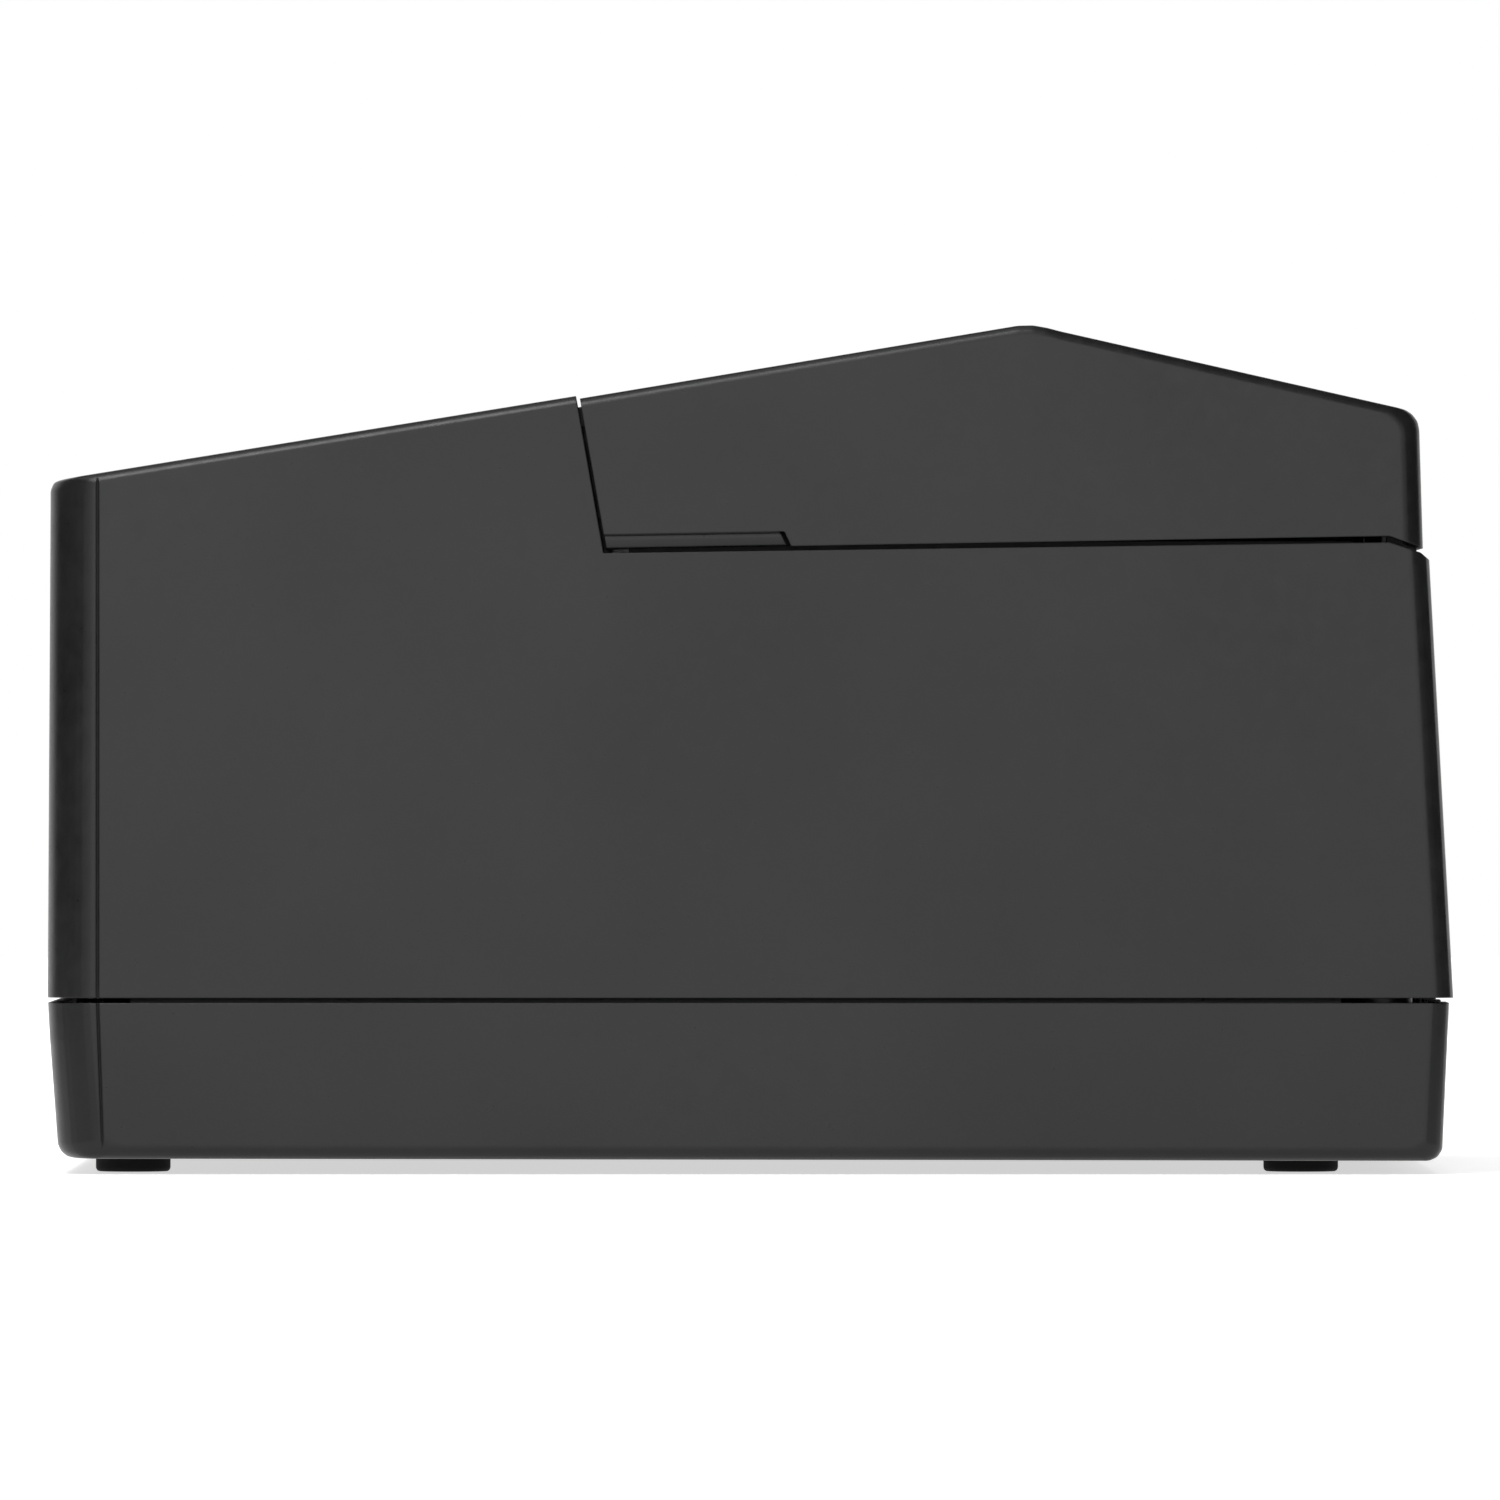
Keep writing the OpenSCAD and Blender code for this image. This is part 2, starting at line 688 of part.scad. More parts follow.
module platen_bushes() {
  color(acetal)
    mech()
      difference() {
        for (s = [-1, 1]) {
          bar_x(s > 0 ? 43 : -50, 7, platen_back, platen_up, bush_r);
          bar_x(s > 0 ? 46 : -47.6, 1.6, platen_back, platen_up, bush_r + 1);
        }
        bar_x(-60, 120, platen_back, platen_up, shaft_dia / 2 + run_gap);
      }
}

module wheel(m, z, turn, bore) {
  difference() {
    rotate(turn)
      polygon(wheel_points(m, z));
    circle(bore);
  }
}

module platen_gear() {
  color(acetal)
    mech() {
      along_x(52, 4)
        translate([platen_back, platen_up])
          wheel(feed_m, platen_teeth, idler_a, shaft_dia / 2);
      along_x(50.6, 1.5)
        translate([platen_back, platen_up])
          difference() {
            circle(bush_r - 0.4);
            circle(shaft_dia / 2);
          }
    }
}

module platen_holder() {
  color(inner_black)
    mech()
      difference() {
        union() {
          box([-50.4, 12, 3.4], [50.4, 14, 14.15]);
          box([-50.4, 6.4, 12.9], [50.4, 14, 14.15]);
          for (s = [-1, 1])
            along_x(s > 0 ? 43 : -46, 3) {
              translate([platen_back, platen_up])
                circle(bush_r + 1.4);
              translate([platen_back - 1, platen_up - bush_r - 1.4])
                square([14 - platen_back + 1, 4]);
              translate([-0.8, platen_up])
                square([14.8, 14.15 - platen_up]);
            }
          // Ribs that carry the paper round the platen
          for (x = [-40, -28, -20, -6, 0, 6, 20, 28, 40])
            along_x(x - 0.6, 1.2)
              polygon([[9.4, 4], [12.5, 3.4], [12.5, 13.5], [9.4, 11.4]]);
        }
        bar_x(-60, 120, platen_back, platen_up, bush_r);
        for (x = [-34, -12, 12, 34])
          translate([x, 10, 12])
            cylinder(h = 4, r = 1.2);
      }
}

module holder_screws() {
  color(steel)
    mech()
      for (x = [-34, -12, 12, 34])
        translate([x, 10, 12.9])
          screw(1.9, 1.2, 1, 5);
}

// Screw whose head points down and whose thread runs up
module screw(head_r, head_h, r, long) {
  difference() {
    union() {
      translate([0, 0, -head_h])
        cylinder(h = head_h, r = head_r);
      translate([0, 0, -head_h / 2])
        cylinder(h = long + head_h / 2, r = r);
    }
    translate([-head_r * 0.6, -head_r * 0.13, -head_h - 1])
      cube([head_r * 1.2, head_r * 0.26, 1 + head_h * 0.5]);
    translate([-head_r * 0.13, -head_r * 0.6, -head_h - 1])
      cube([head_r * 0.26, head_r * 1.2, 1 + head_h * 0.5]);
  }
}

module fixed_blade() {
  color(bright)
    mech()
      difference() {
        box([-46, -1.6, 14.15], [46, 7.2, fixed_top]);
        for (x = [-44.6, 44.6])
          translate([x, 4, 10])
            cylinder(h = 8, r = 0.6);
      }
}

module mechanism_frame() {
  color(steel)
    mech()
      difference() {
        union() {
          box([-plate_x, -52, deck_high], [plate_x, 6, deck_high + 1.4]);
          box([-plate_x, -12, deck_high + 1], [plate_x, -10.6, 12]);
        }
        // Windows that lighten the cross plate and let the cable through
        for (x = [-40, 0])
          box([x - 6, -13, -4], [x + 6, -10, 4]);
        box([-21.5, -11, deck_high - 1], [21.5, -6.5, deck_high + 3]);
      }
}

// Plates that carry the shafts, each with a seat for a platen bush
module side_plates() {
  color(steel)
    mech()
      difference() {
        for (s = [-1, 1]) {
          along_x(s > 0 ? plate_x : -plate_x - plate_t, plate_t)
            polygon([
              [-52, deck_high], [6, deck_high], [6, platen_up - bush_r - 0.05],
              [platen_back - bush_r - 0.05, platen_up - bush_r - 0.05],
              [platen_back - bush_r - 0.05, 11.5], [-3.6, 13.3], [-3.6, 16], [-52, 16]
            ]);
          translate([s * plate_x, 0, 0])
            box([-3.2, -50, 12], [1, -5, 13.35]);
          for (y = [-46, 0])
            translate([s * 53, y, deck_high])
              box([-4, 0, 0], [4, 7, 1.4]);
        }
        for (s = [-1, 1], y = [-42, 3.4])
          translate([s * 54, y, deck_high - 1])
            cylinder(h = 4, r = 1.3);
        bar_x(-60, 120, cshaft_y, cshaft_z, 1.5 + run_gap);
        bar_x(-60, 120, -6, -9, 1.5);
        bar_x(40, 20, motor_y, motor_z, 3.05);
        bar_x(-60, 20, cmotor_y, cmotor_z, 2.55);
        bar_x(40, 20, idler_y, idler_z, 1.5);
        for (s = [-1, 1])
          box([s * plate_x - 4, -30, 4.6 + (s > 0 ? 5.2 : 0)], [s * plate_x + 4, -14, 11]);
      }
}

module head_plate() {
  color([0.78, 0.79, 0.8])
    mech()
      difference() {
        union() {
          box([-41.5, -6.6, -7], [41.5, -4.5, 12]);
          for (s = [-1, 1])
            along_x(s > 0 ? 28 : -36, 8) {
              translate([-6, -9])
                circle(3);
              translate([-6.6, -9])
                square([2.1, 3]);
            }
        }
        bar_x(-60, 120, -6, -9, 1.5 + run_gap);
      }
}

module thermal_head() {
  color([0.75, 0.72, 0.66])
    mech() {
      box([-41, -4.5, 2.4], [41, -3.75, 11.8]);
      bar_x(-40, 80, -3.8, platen_up, 0.35);
      box([-38, -4.5, -3], [38, -3.3, 1.2]);
    }
}

module head_pivot() {
  color(steel)
    mech()
      bar_x(-plate_x - plate_t, 2 * (plate_x + plate_t), -6, -9, 1.5);
}

module head_springs() {
  color(steel)
    mech()
      for (x = [-30, -12, 12, 30])
        translate([x, -10.6, 8])
          rotate([-90, 0, 0])
            for (q = [[0.36, 0], [1.3, 16], [2.7, -16], [3.64, 0]])
              translate([0, 0, q[0]])
                rotate([0, q[1], 0])
                  rotate_extrude()
                    translate([1.9, 0])
                      circle(0.35, $fn = 24);
}

module feed_motor() {
  color([0.55, 0.56, 0.58])
    mech()
      difference() {
        union() {
          bar_x(34, plate_x - 34, motor_y, motor_z, 8.9);
          bar_x(plate_x - 1, plate_t + 0.5, motor_y, motor_z, 3);
          box([36, motor_y - 4, motor_z - 11], [44, motor_y + 4, motor_z]);
        }
        bar_x(40, 20, motor_y, motor_z, 1 + run_gap);
      }
}

idler_turn = idler_a + 180 + 180 / idler_teeth;
idler_off = (180 - idler_turn) - floor((180 - idler_turn) * idler_teeth / 360) * 360 / idler_teeth;
feed_turn = idler_off * idler_teeth / feed_teeth + 180 / feed_teeth;

module feed_pinion() {
  color(bright)
    mech() {
      bar_x(42, 14.6, motor_y, motor_z, 1);
      along_x(52, 4)
        translate([motor_y, motor_z])
          wheel(feed_m, feed_teeth, feed_turn, 0.9);
    }
}

module idler_stud() {
  color(steel)
    mech() {
      bar_x(plate_x, 9.2, idler_y, idler_z, 1.5);
      bar_x(plate_x + plate_t, 51.8 - plate_x - plate_t, idler_y, idler_z, 2.6);
      bar_x(56.3, 0.9, idler_y, idler_z, 2.6);
    }
}

module idler_gear() {
  color(acetal)
    mech()
      along_x(52, 4)
        translate([idler_y, idler_z])
          wheel(feed_m, idler_teeth, idler_turn, 1.5 + run_gap);
}

module cutter_blade() {
  color(bright)
    mech()
      translate([0, 0, blade_z])
        linear_extrude(blade_t)
          polygon([
            [-43.5, -30], [43.5, -30], [43.5, -4.4], [40, -4.4], [0, -7.6], [-40, -4.4],
            [-43.5, -4.4]
          ]);
}

module blade_carrier() {
  color(inner_black)
    mech() {
      difference() {
        box([-plate_x + 0.5, -48, 13.4], [plate_x - 0.5, -16, blade_z]);
        for (x = [-33, 0, 33])
          box([x - 9, -44, 10], [x + 9, -33, 20]);
      }
      for (s = [-1, 1])
        translate([s * 18.5, 0, 0]) {
          box([-1.5, -48, rack_line + 1.2 * cut_m], [1.5, -32.6, 13.9]);
          for (k = [-8:1])
            along_x(-1.5, 3)
              translate([cshaft_y + (k + 0.5) * 3.14159 * cut_m, rack_line])
                polygon([
                  [-1.15 * cut_m, 1.25 * cut_m], [-0.38 * cut_m, -0.95 * cut_m],
                  [0.38 * cut_m, -0.95 * cut_m], [1.15 * cut_m, 1.25 * cut_m]
                ]);
        }
    }
}

module cutter_shaft() {
  color(steel)
    mech()
      bar_x(-57.4, 57.4 + plate_x + plate_t + 1, cshaft_y, cshaft_z, 1.5);
}

module rack_pinions() {
  color(acetal)
    mech()
      for (s = [-1, 1])
        along_x(s * 18.5 - 2.5, 5)
          translate([cshaft_y, cshaft_z])
            wheel(cut_m, rack_teeth, 90, 1.5);
}

module cutter_gear() {
  color(acetal)
    mech()
      along_x(-57, 4)
        translate([cshaft_y, cshaft_z])
          wheel(cut_m, cut_teeth, cmotor_a, 1.5);
}

module cutter_motor() {
  color([0.55, 0.56, 0.58])
    mech()
      difference() {
        union() {
          bar_x(-plate_x, 23, cmotor_y, cmotor_z, 8);
          bar_x(-plate_x - plate_t - 0.5, plate_t + 1.5, cmotor_y, cmotor_z, 2.5);
          bar_x(-plate_x + 23, 2.4, cmotor_y, cmotor_z, 3);
        }
        bar_x(-60, 20, cmotor_y, cmotor_z, 1 + run_gap);
      }
}

module cutter_pinion() {
  color(bright)
    mech() {
      bar_x(-57.4, 16, cmotor_y, cmotor_z, 1);
      along_x(-57, 4)
        translate([cmotor_y, cmotor_z])
          wheel(cut_m, cutm_teeth, cmotor_a - 180 + 180 / cutm_teeth, 0.9);
    }
}

module cutter_plate() {
  color(steel)
    mech()
      difference() {
        box([-plate_x - plate_t, -51, 16], [plate_x + plate_t, -4.6, 16.8]);
        box([-24, -40, 15], [24, -32, 18]);
        for (x = [-38, 38])
          box([x - 5, -28, 15], [x + 5, -14, 18]);
      }
}

module tear_bar() {
  color(bright)
    slope()
      translate([0, 0, -3.2])
        linear_extrude(0.8)
          polygon(concat(
            [[42, -10], [42, -5.4]],
            [for (k = [0:27], q = [0, 1]) [42 - 3 * k - 1.5 * q, q == 0 ? -5.4 : -4.2]],
            [[-42, -5.4], [-42, -10]]
          ));
}

module feed_button() {
  color(inner_black)
    slope()
      translate([44, -57.5, 0]) {
        translate([0, 0, -2.8])
          linear_extrude(2.5)
            rounded(button_long, button_wide);
        translate([0, 0, -0.4])
          linear_extrude(0.35)
            rounded(button_long - 0.8, button_wide - 0.8);
        translate([0, 0, -3.5])
          linear_extrude(0.9)
            rounded(button_long + 2, button_wide + 2);
        translate([0, 0, -3.75])
          cylinder(h = 1, r = 1.8);
      }
}

module light_pipes() {
  color([0.75, 0.85, 0.78])
    slope()
      for (x = [14, 21, 28])
        translate([x, -57.5, -6.4])
          cylinder(h = 6.4, r = 1.6);
}

module panel_board() {
  color(board_green)
    slope()
      difference() {
        box([2, -63, -9.8], [59, -53, -8.2]);
        for (x = [6, 55.5])
          translate([x, -58, -12])
            cylinder(h = 6, r = 1.1);
      }
}

module panel_parts() {
  color(inner_black)
    slope() {
      box([41, -60.5, -8.2], [47, -54.5, -4.9]);
      translate([44, -57.5, -5])
        cylinder(h = 0.7, r = 1.75);
      for (x = [14, 21, 28])
        box([x - 1.6, -59.1, -8.2], [x + 1.6, -55.9, -6.6]);
      box([32, -56.5, -8.2], [36.5, -54, -7]);
    }
}

module main_board() {
  color(board_green)
    difference() {
      box([-board_half, post_front - 6, board_top - 1.6], [board_half, ry - 4, board_top]);
      corners(post_x, post_front, post_rear)
        cylinder(h = 20, r = 1.6);
    }
}

module board_parts() {
  color([0.1, 0.1, 0.1]) {
    box([-12, -18, board_top], [4, -2, board_top + 1.4]);
    box([16, -12, board_top], [28, -4, board_top + 1.2]);
    box([-22.5, -33, board_top], [22.5, -28.4, board_top + 2.6]);
    box([36, -34, board_top], [50, -28, board_top + 7]);
    box([-50, -34, board_top], [-36, -28, board_top + 7]);
    box([-46, 8, board_top], [-36, 18, board_top + 5]);
    box([-30, 30, board_top], [-20, 38, board_top + 2]);
    for (p = [[34, 31.5], [24, 29.5], [-40, 35.5], [-28, 33.5], [post_x - 1, 71.5]])
      translate([p[0], ry - p[1], board_top])
        cylinder(h = 9, r = 4);
    for (k = [0:5])
      box([8 + 4 * k, 34, board_top], [10 + 4 * k, 37.2, board_top + 0.9]);
  }
}

module power_inlet() {
  m = socket_mouths[0];
  color([0.12, 0.12, 0.12])
    difference() {
      box([m[0], ry - 14.5, board_top], [m[1], ry - 1.1, m[2]]);
      bar_y((m[0] + m[1]) / 2, ry - 10.5, 20, 16.3, 4.7);
    }
  color(bright)
    for (p = [[-1.8, 1], [1.8, 1], [0, -1.8]])
      bar_y((m[0] + m[1]) / 2 + p[0], ry - 11.1, 6, 16.3 + p[1], 0.7);
}

module drawer_socket() {
  m = socket_mouths[1];
  color([0.2, 0.2, 0.2])
    difference() {
      box([m[0], ry - 17.5, board_top], [m[1], ry - 1.1, m[2]]);
      box([-28.4, ry - 13.5, 13.6], [-18.6, ry + 4, 20]);
      box([-25.6, ry - 13.5, 11.6], [-21.4, ry + 4, 14]);
    }
  color(copper)
    for (k = [0:5])
      box([-26.8 + 1.27 * k, ry - 13.9, 18.6], [-26.3 + 1.27 * k, ry - 5.5, 19.2]);
}

module network_socket() {
  m = socket_mouths[2];
  color([0.6, 0.6, 0.6])
    difference() {
      box([m[0], ry - 19.5, board_top], [m[1], ry - 1.1, m[2]]);
      box([-7.9, ry - 14.5, 13.4], [3.9, ry + 4, 20.6]);
      box([-4.9, ry - 14.5, 11], [0.9, ry + 4, 14]);
    }
  color(copper)
    for (k = [0:7])
      box([-6.7 + 1.27 * k, ry - 14.9, 19.2], [-6.2 + 1.27 * k, ry - 5.5, 19.8]);
}

module usb_socket() {
  m = socket_mouths[3];
  color(bright)
    difference() {
      box([m[0], ry - 17.5, board_top], [m[1], ry - 1.1, m[2]]);
      along_y(ry - 15.5, 20)
        polygon([[14.7, 11.4], [23.3, 11.4], [23.3, 17.6], [21.7, 19.2], [16.3, 19.2], [14.7, 17.6]]);
    }
  color([0.9, 0.9, 0.9])
    box([16.2, ry - 15.9, 13.8], [21.8, ry - 6.5, 16.6]);
}

// Turns an X-Z drawing into a solid running along Y
module along_y(y, long) {
  translate([0, y + long, 0])
    rotate([90, 0, 0])
      linear_extrude(long)
        children();
}

module switch_body() {
  m = socket_mouths[4];
  color([0.12, 0.12, 0.12])
    difference() {
      box([m[0], ry - 13.5, board_top], [m[1], ry - 0.7, m[2]]);
      box([(m[0] + m[1]) / 2 - 7.5, ry - 8.9, 11.6], [(m[0] + m[1]) / 2 + 7.5, ry + 4, 21]);
      translate([(m[0] + m[1]) / 2, ry - 5.1, 10.4])
        cylinder(h = 11.8, r = 1.2);
    }
}

module power_rocker() {
  color([0.2, 0.2, 0.2])
    translate([(socket_mouths[4][0] + socket_mouths[4][1]) / 2, ry - 5.1, 0])
      rotate(-rocker_tilt) {
        translate([0, 0, 12])
          linear_extrude(8.6)
            polygon([
              [-6.4, 0.4], [-6.7, 3.5], [0, 2.5], [6.7, 3.5], [6.4, 0.4], [2, -2.2], [-2, -2.2]
            ]);
        translate([0, 0, 10.6])
          cylinder(h = 11.4, r = 1.2 - run_gap);
      }
}

module paper_sensor() {
  color([0.1, 0.1, 0.1])
    difference() {
      box([-6, -13.4, flange_top - 7.8], [6, -9.4, flange_top - 0.8]);
      for (x = [-2.6, 2.6])
        translate([x, -11.4, flange_top - 1.4])
          cylinder(h = 2, r = 1.2);
    }
}

module roll_sensor() {
  x = bucket_wide / 2 + bucket_wall;
  color([0.1, 0.1, 0.1]) {
    box([x, bucket_y + 2, bucket_z - 35], [x + 6, bucket_y + 14, bucket_z - 23]);
    bar_x(x - bucket_wall + 0.2, bucket_wall, bucket_y + 8, bucket_z - 29, 2);
  }
}

module head_cable() {
  path = [mech_point(-7.09, -2), mech_point(-8.6, -11), mech_point(-8.6, -18), [-30.6, 22], [-30.6, 12.4]];
  color(copper)
    along_x(-20, 40)
      polygon([
        path[0], path[1], path[2], path[3], path[4],
        path[4] + [0.4, 0], path[3] + [0.4, 0], path[2] + [0.4, 0], path[1] + [0.4, 0], path[0] + [0.4, 0]
      ]);
}

module rubber_feet() {
  color(rubber)
    corners(foot_x, foot_front, foot_rear) {
      cylinder(h = 2.9, r = foot_dia / 2 - 0.1);
    }
}

module case_screws() {
  color(steel)
    corners(case_screw_x, case_screw_front, case_screw_rear)
      translate([0, 0, 5.5])
        screw(head_dia / 2, 2.2, screw_dia / 2, 29);
}

module frame_screws() {
  color(steel) {
    mech()
      for (s = [-1, 1], y = [-58, -16])
        translate([s * (half - wall - 4), y, deck_high])
          mirror([0, 0, 1])
            screw(2.4, 1.6, 1.25, 8.4);
    for (s = [-1, 1])
      translate([s * (half - wall - 4), ry - 29.5, flange_top])
        mirror([0, 0, 1])
          screw(2.4, 1.4, 1.25, 8.4);
  }
}

module mechanism_screws() {
  color(steel)
    mech()
      for (s = [-1, 1], y = [-42, 3.4])
        translate([s * 54, y, deck_high + 1.4])
          mirror([0, 0, 1])
            screw(2, 1.1, 1.1, 3.8);
}

bottom_case();
upper_case();
front_cover();
lid();
inner_frame();
hinge_pins();
platen_roller();
platen_shaft();
platen_bushes();
platen_gear();
platen_holder();
holder_screws();
fixed_blade();
mechanism_frame();
side_plates();
head_plate();
thermal_head();
head_pivot();
head_springs();
feed_motor();
feed_pinion();
idler_stud();
idler_gear();
cutter_blade();
blade_carrier();
cutter_shaft();
rack_pinions();
cutter_gear();
cutter_motor();
cutter_pinion();
cutter_plate();
tear_bar();
feed_button();
light_pipes();
panel_board();
panel_parts();
main_board();
board_parts();
power_inlet();
drawer_socket();
network_socket();
usb_socket();
switch_body();
power_rocker();
paper_sensor();
roll_sensor();
head_cable();
rubber_feet();
case_screws();
frame_screws();
mechanism_screws();
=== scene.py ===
import bpy
import bmesh
import json
from math import sin, cos, tan, radians, sqrt, pi
from mathutils import Vector, Matrix


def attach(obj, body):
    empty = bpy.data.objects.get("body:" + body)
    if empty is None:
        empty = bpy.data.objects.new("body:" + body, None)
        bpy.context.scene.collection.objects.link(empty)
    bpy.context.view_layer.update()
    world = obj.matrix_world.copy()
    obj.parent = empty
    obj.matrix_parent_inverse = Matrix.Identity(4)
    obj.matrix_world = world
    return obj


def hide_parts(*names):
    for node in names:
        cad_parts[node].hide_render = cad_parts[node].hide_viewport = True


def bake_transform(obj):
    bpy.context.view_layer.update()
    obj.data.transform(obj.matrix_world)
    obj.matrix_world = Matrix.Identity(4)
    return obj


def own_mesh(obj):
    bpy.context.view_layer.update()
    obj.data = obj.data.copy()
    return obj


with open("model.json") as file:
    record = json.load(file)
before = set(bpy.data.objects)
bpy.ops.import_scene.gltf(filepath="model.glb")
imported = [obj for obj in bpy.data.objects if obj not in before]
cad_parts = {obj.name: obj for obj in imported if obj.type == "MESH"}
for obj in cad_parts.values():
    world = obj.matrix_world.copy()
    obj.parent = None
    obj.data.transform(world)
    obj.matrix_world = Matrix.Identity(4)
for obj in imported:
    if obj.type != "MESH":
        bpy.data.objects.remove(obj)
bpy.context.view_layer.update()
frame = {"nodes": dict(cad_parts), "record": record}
scene = bpy.context.scene
mm = 0.001
print("frame loaded")


# ---- small helpers, all in mm

def addNode(tree, kind, settings=None, values=None, links=None):
    node = tree.nodes.new(kind)
    for key, value in (settings or {}).items():
        setattr(node, key, value)
    for key, value in (values or {}).items():
        node.inputs[key].default_value = value
    for key, source in (links or {}).items():
        tree.links.new(source, node.inputs[key])
    return node


def colour(code):
    parts = [int(code[i:i + 2], 16) / 255 for i in (1, 3, 5)]
    return tuple(c / 12.92 if c <= 0.04045 else ((c + 0.055) / 1.055) ** 2.4 for c in parts) + (1,)


def lighter(code, factor):
    return tuple(min(c * factor, 1) for c in colour(code)[:3]) + (1,)


def gather(*parts):
    # one bmesh out of several; a part can be a (bmesh, matrix) pair
    whole = bmesh.new()
    for part in parts:
        bm, matrix = part if isinstance(part, tuple) else (part, Matrix.Identity(4))
        mesh = bpy.data.meshes.new("part")
        bm.to_mesh(mesh)
        bm.free()
        mesh.transform(matrix)
        whole.from_mesh(mesh)
        bpy.data.meshes.remove(mesh)
    return whole


def objectFrom(name, bm):
    mesh = bpy.data.meshes.new(name)
    bmesh.ops.recalc_face_normals(bm, faces=bm.faces)
    bm.to_mesh(mesh)
    bm.free()
    obj = bpy.data.objects.new(name, mesh)
    scene.collection.objects.link(obj)
    return obj


def applied(obj):
    bpy.context.view_layer.update()
    seen = bpy.context.evaluated_depsgraph_get()
    mesh = bpy.data.meshes.new_from_object(obj.evaluated_get(seen))
    obj.modifiers.clear()
    old = obj.data
    obj.data = mesh
    bpy.data.meshes.remove(old)
    return obj


def carve(obj, bm, operation="DIFFERENCE", overlap=True):
    other = objectFrom("cutter", bm)
    step = obj.modifiers.new("cut", "BOOLEAN")
    step.operation, step.object, step.solver, step.use_self = operation, other, "EXACT", overlap
    applied(obj)
    bpy.data.objects.remove(other)
    return obj


def smooth(obj, angle=30):
    bm = bmesh.new()
    bm.from_mesh(obj.data)
    bmesh.ops.remove_doubles(bm, verts=bm.verts, dist=0.002 * mm)
    for face in bm.faces:
        face.smooth = True
    for edge in bm.edges:
        edge.smooth = len(edge.link_faces) == 2 and edge.calc_face_angle(pi) < radians(angle)
    bm.to_mesh(obj.data)
    bm.free()
    step = obj.modifiers.new("normals", "WEIGHTED_NORMAL")
    step.keep_sharp, step.weight = True, 90
    return applied(obj)


def standIn(obj, material, nodes, body, angle=30):
    smooth(obj, angle)
    obj.data.materials.clear()
    obj.data.materials.append(material)
    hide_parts(*nodes)
    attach(obj, body)
    return obj


def along(axis, a, b, c):
    return {"x": (c, a, b), "y": (a, c, b), "z": (a, b, c)}[axis]


def ringed(levels):
    # closed body through rings that have the same number of points
    bm = bmesh.new()
    rings = [[bm.verts.new(Vector(p) * mm) for p in ring] for ring in levels]
    bm.faces.new(rings[0])
    bm.faces.new(rings[-1])
    for one, two in zip(rings, rings[1:]):
        for i in range(len(one)):
            j = (i + 1) % len(one)
            bm.faces.new((one[i], one[j], two[j], two[i]))
    return bm


def prism(points, low, high, axis="x"):
    return ringed([[along(axis, p[0], p[1], at) for p in points] for at in (low, high)])


def block(low, high):
    bm = bmesh.new()
    bmesh.ops.create_cube(bm, size=1)
    for v in bm.verts:
        v.co = Vector([(a + b) / 2 + c * (b - a) for a, b, c in zip(low, high, v.co)]) * mm
    return bm


def turnedBar(axis, spot, profile, count=40):
    # lathe work: profile is (distance along the axis, radius), closed at both ends
    turns = [2 * pi * k / count for k in range(count)]
    return ringed([[along(axis, spot[0] + r * cos(a), spot[1] + r * sin(a), at) for a in turns]
                   for at, r in profile])


def bar(axis, low, high, spot, r, chamfer=0.0, count=40):
    if chamfer:
        profile = [(low, r - chamfer), (low + chamfer, r), (high - chamfer, r), (high, r - chamfer)]
    else:
        profile = [(low, r), (high, r)]
    return turnedBar(axis, spot, profile, count)


def capsule(long, wide, count=14):
    points = []
    for s in (1, -1):
        for k in range(count + 1):
            a = -pi / 2 + pi * k / count
            points.append((s * ((long - wide) / 2 + wide / 2 * cos(a)), s * wide / 2 * sin(a)))
    return points


def roundBox(long, wide, r, count=5):
    points = []
    for sx, sy, start in ((1, 1, 0), (-1, 1, 90), (-1, -1, 180), (1, -1, 270)):
        for k in range(count + 1):
            a = radians(start + 90 * k / count)
            points.append((sx * (long / 2 - r) + r * cos(a), sy * (wide / 2 - r) + r * sin(a)))
    return points


def shifted(points, a, b):
    return [(p[0] + a, p[1] + b) for p in points]


# ---- sizes shared with the frame

both = (-1, 1)
half, front, rear = 72.5, -97.5, 97.5
traySeam, trayGap, wall, lidWall = 24.3, 0.7, 2.4, 2.2
frontCorner, rearCorner, edgeRound = 7.1, 3, 1.4
innerFront, innerRear, innerEdge = 4.2, 1.2, 0.4
seamY, seamZ, slant, lidGap = -20.1, 86.2, radians(10), 0.5
slopeY, slopeZ, rise = -24.2, 107.7, radians(9.19)
hingeY, hingeZ, armX, armWide = rear - 6.3, 83, 52, 6
ridgeY, ridgeHigh = 38, 117.5
climb = tan(rise)
deckLow, deckHigh = -16.4, -14
toMech = Matrix.Translation(Vector((0, seamY, seamZ)) * mm) @ Matrix.Rotation(slant, 4, "X")
toSlope = Matrix.Translation(Vector((0, slopeY, slopeZ)) * mm) @ Matrix.Rotation(rise, 4, "X")


def shift(x, y=0, z=0):
    return Matrix.Translation(Vector((x, y, z)) * mm)


def mechPoint(y, z):
    return (seamY + y * cos(slant) - z * sin(slant), seamZ + y * sin(slant) + z * cos(slant))


def slopeAt(y):
    return slopeZ + (y - slopeY) * climb


def lost(d, r):
    # how far a corner of radius r has drawn in at depth d from the side face
    return 0 if d >= r else r - sqrt(r * r - (r - d) * (r - d))


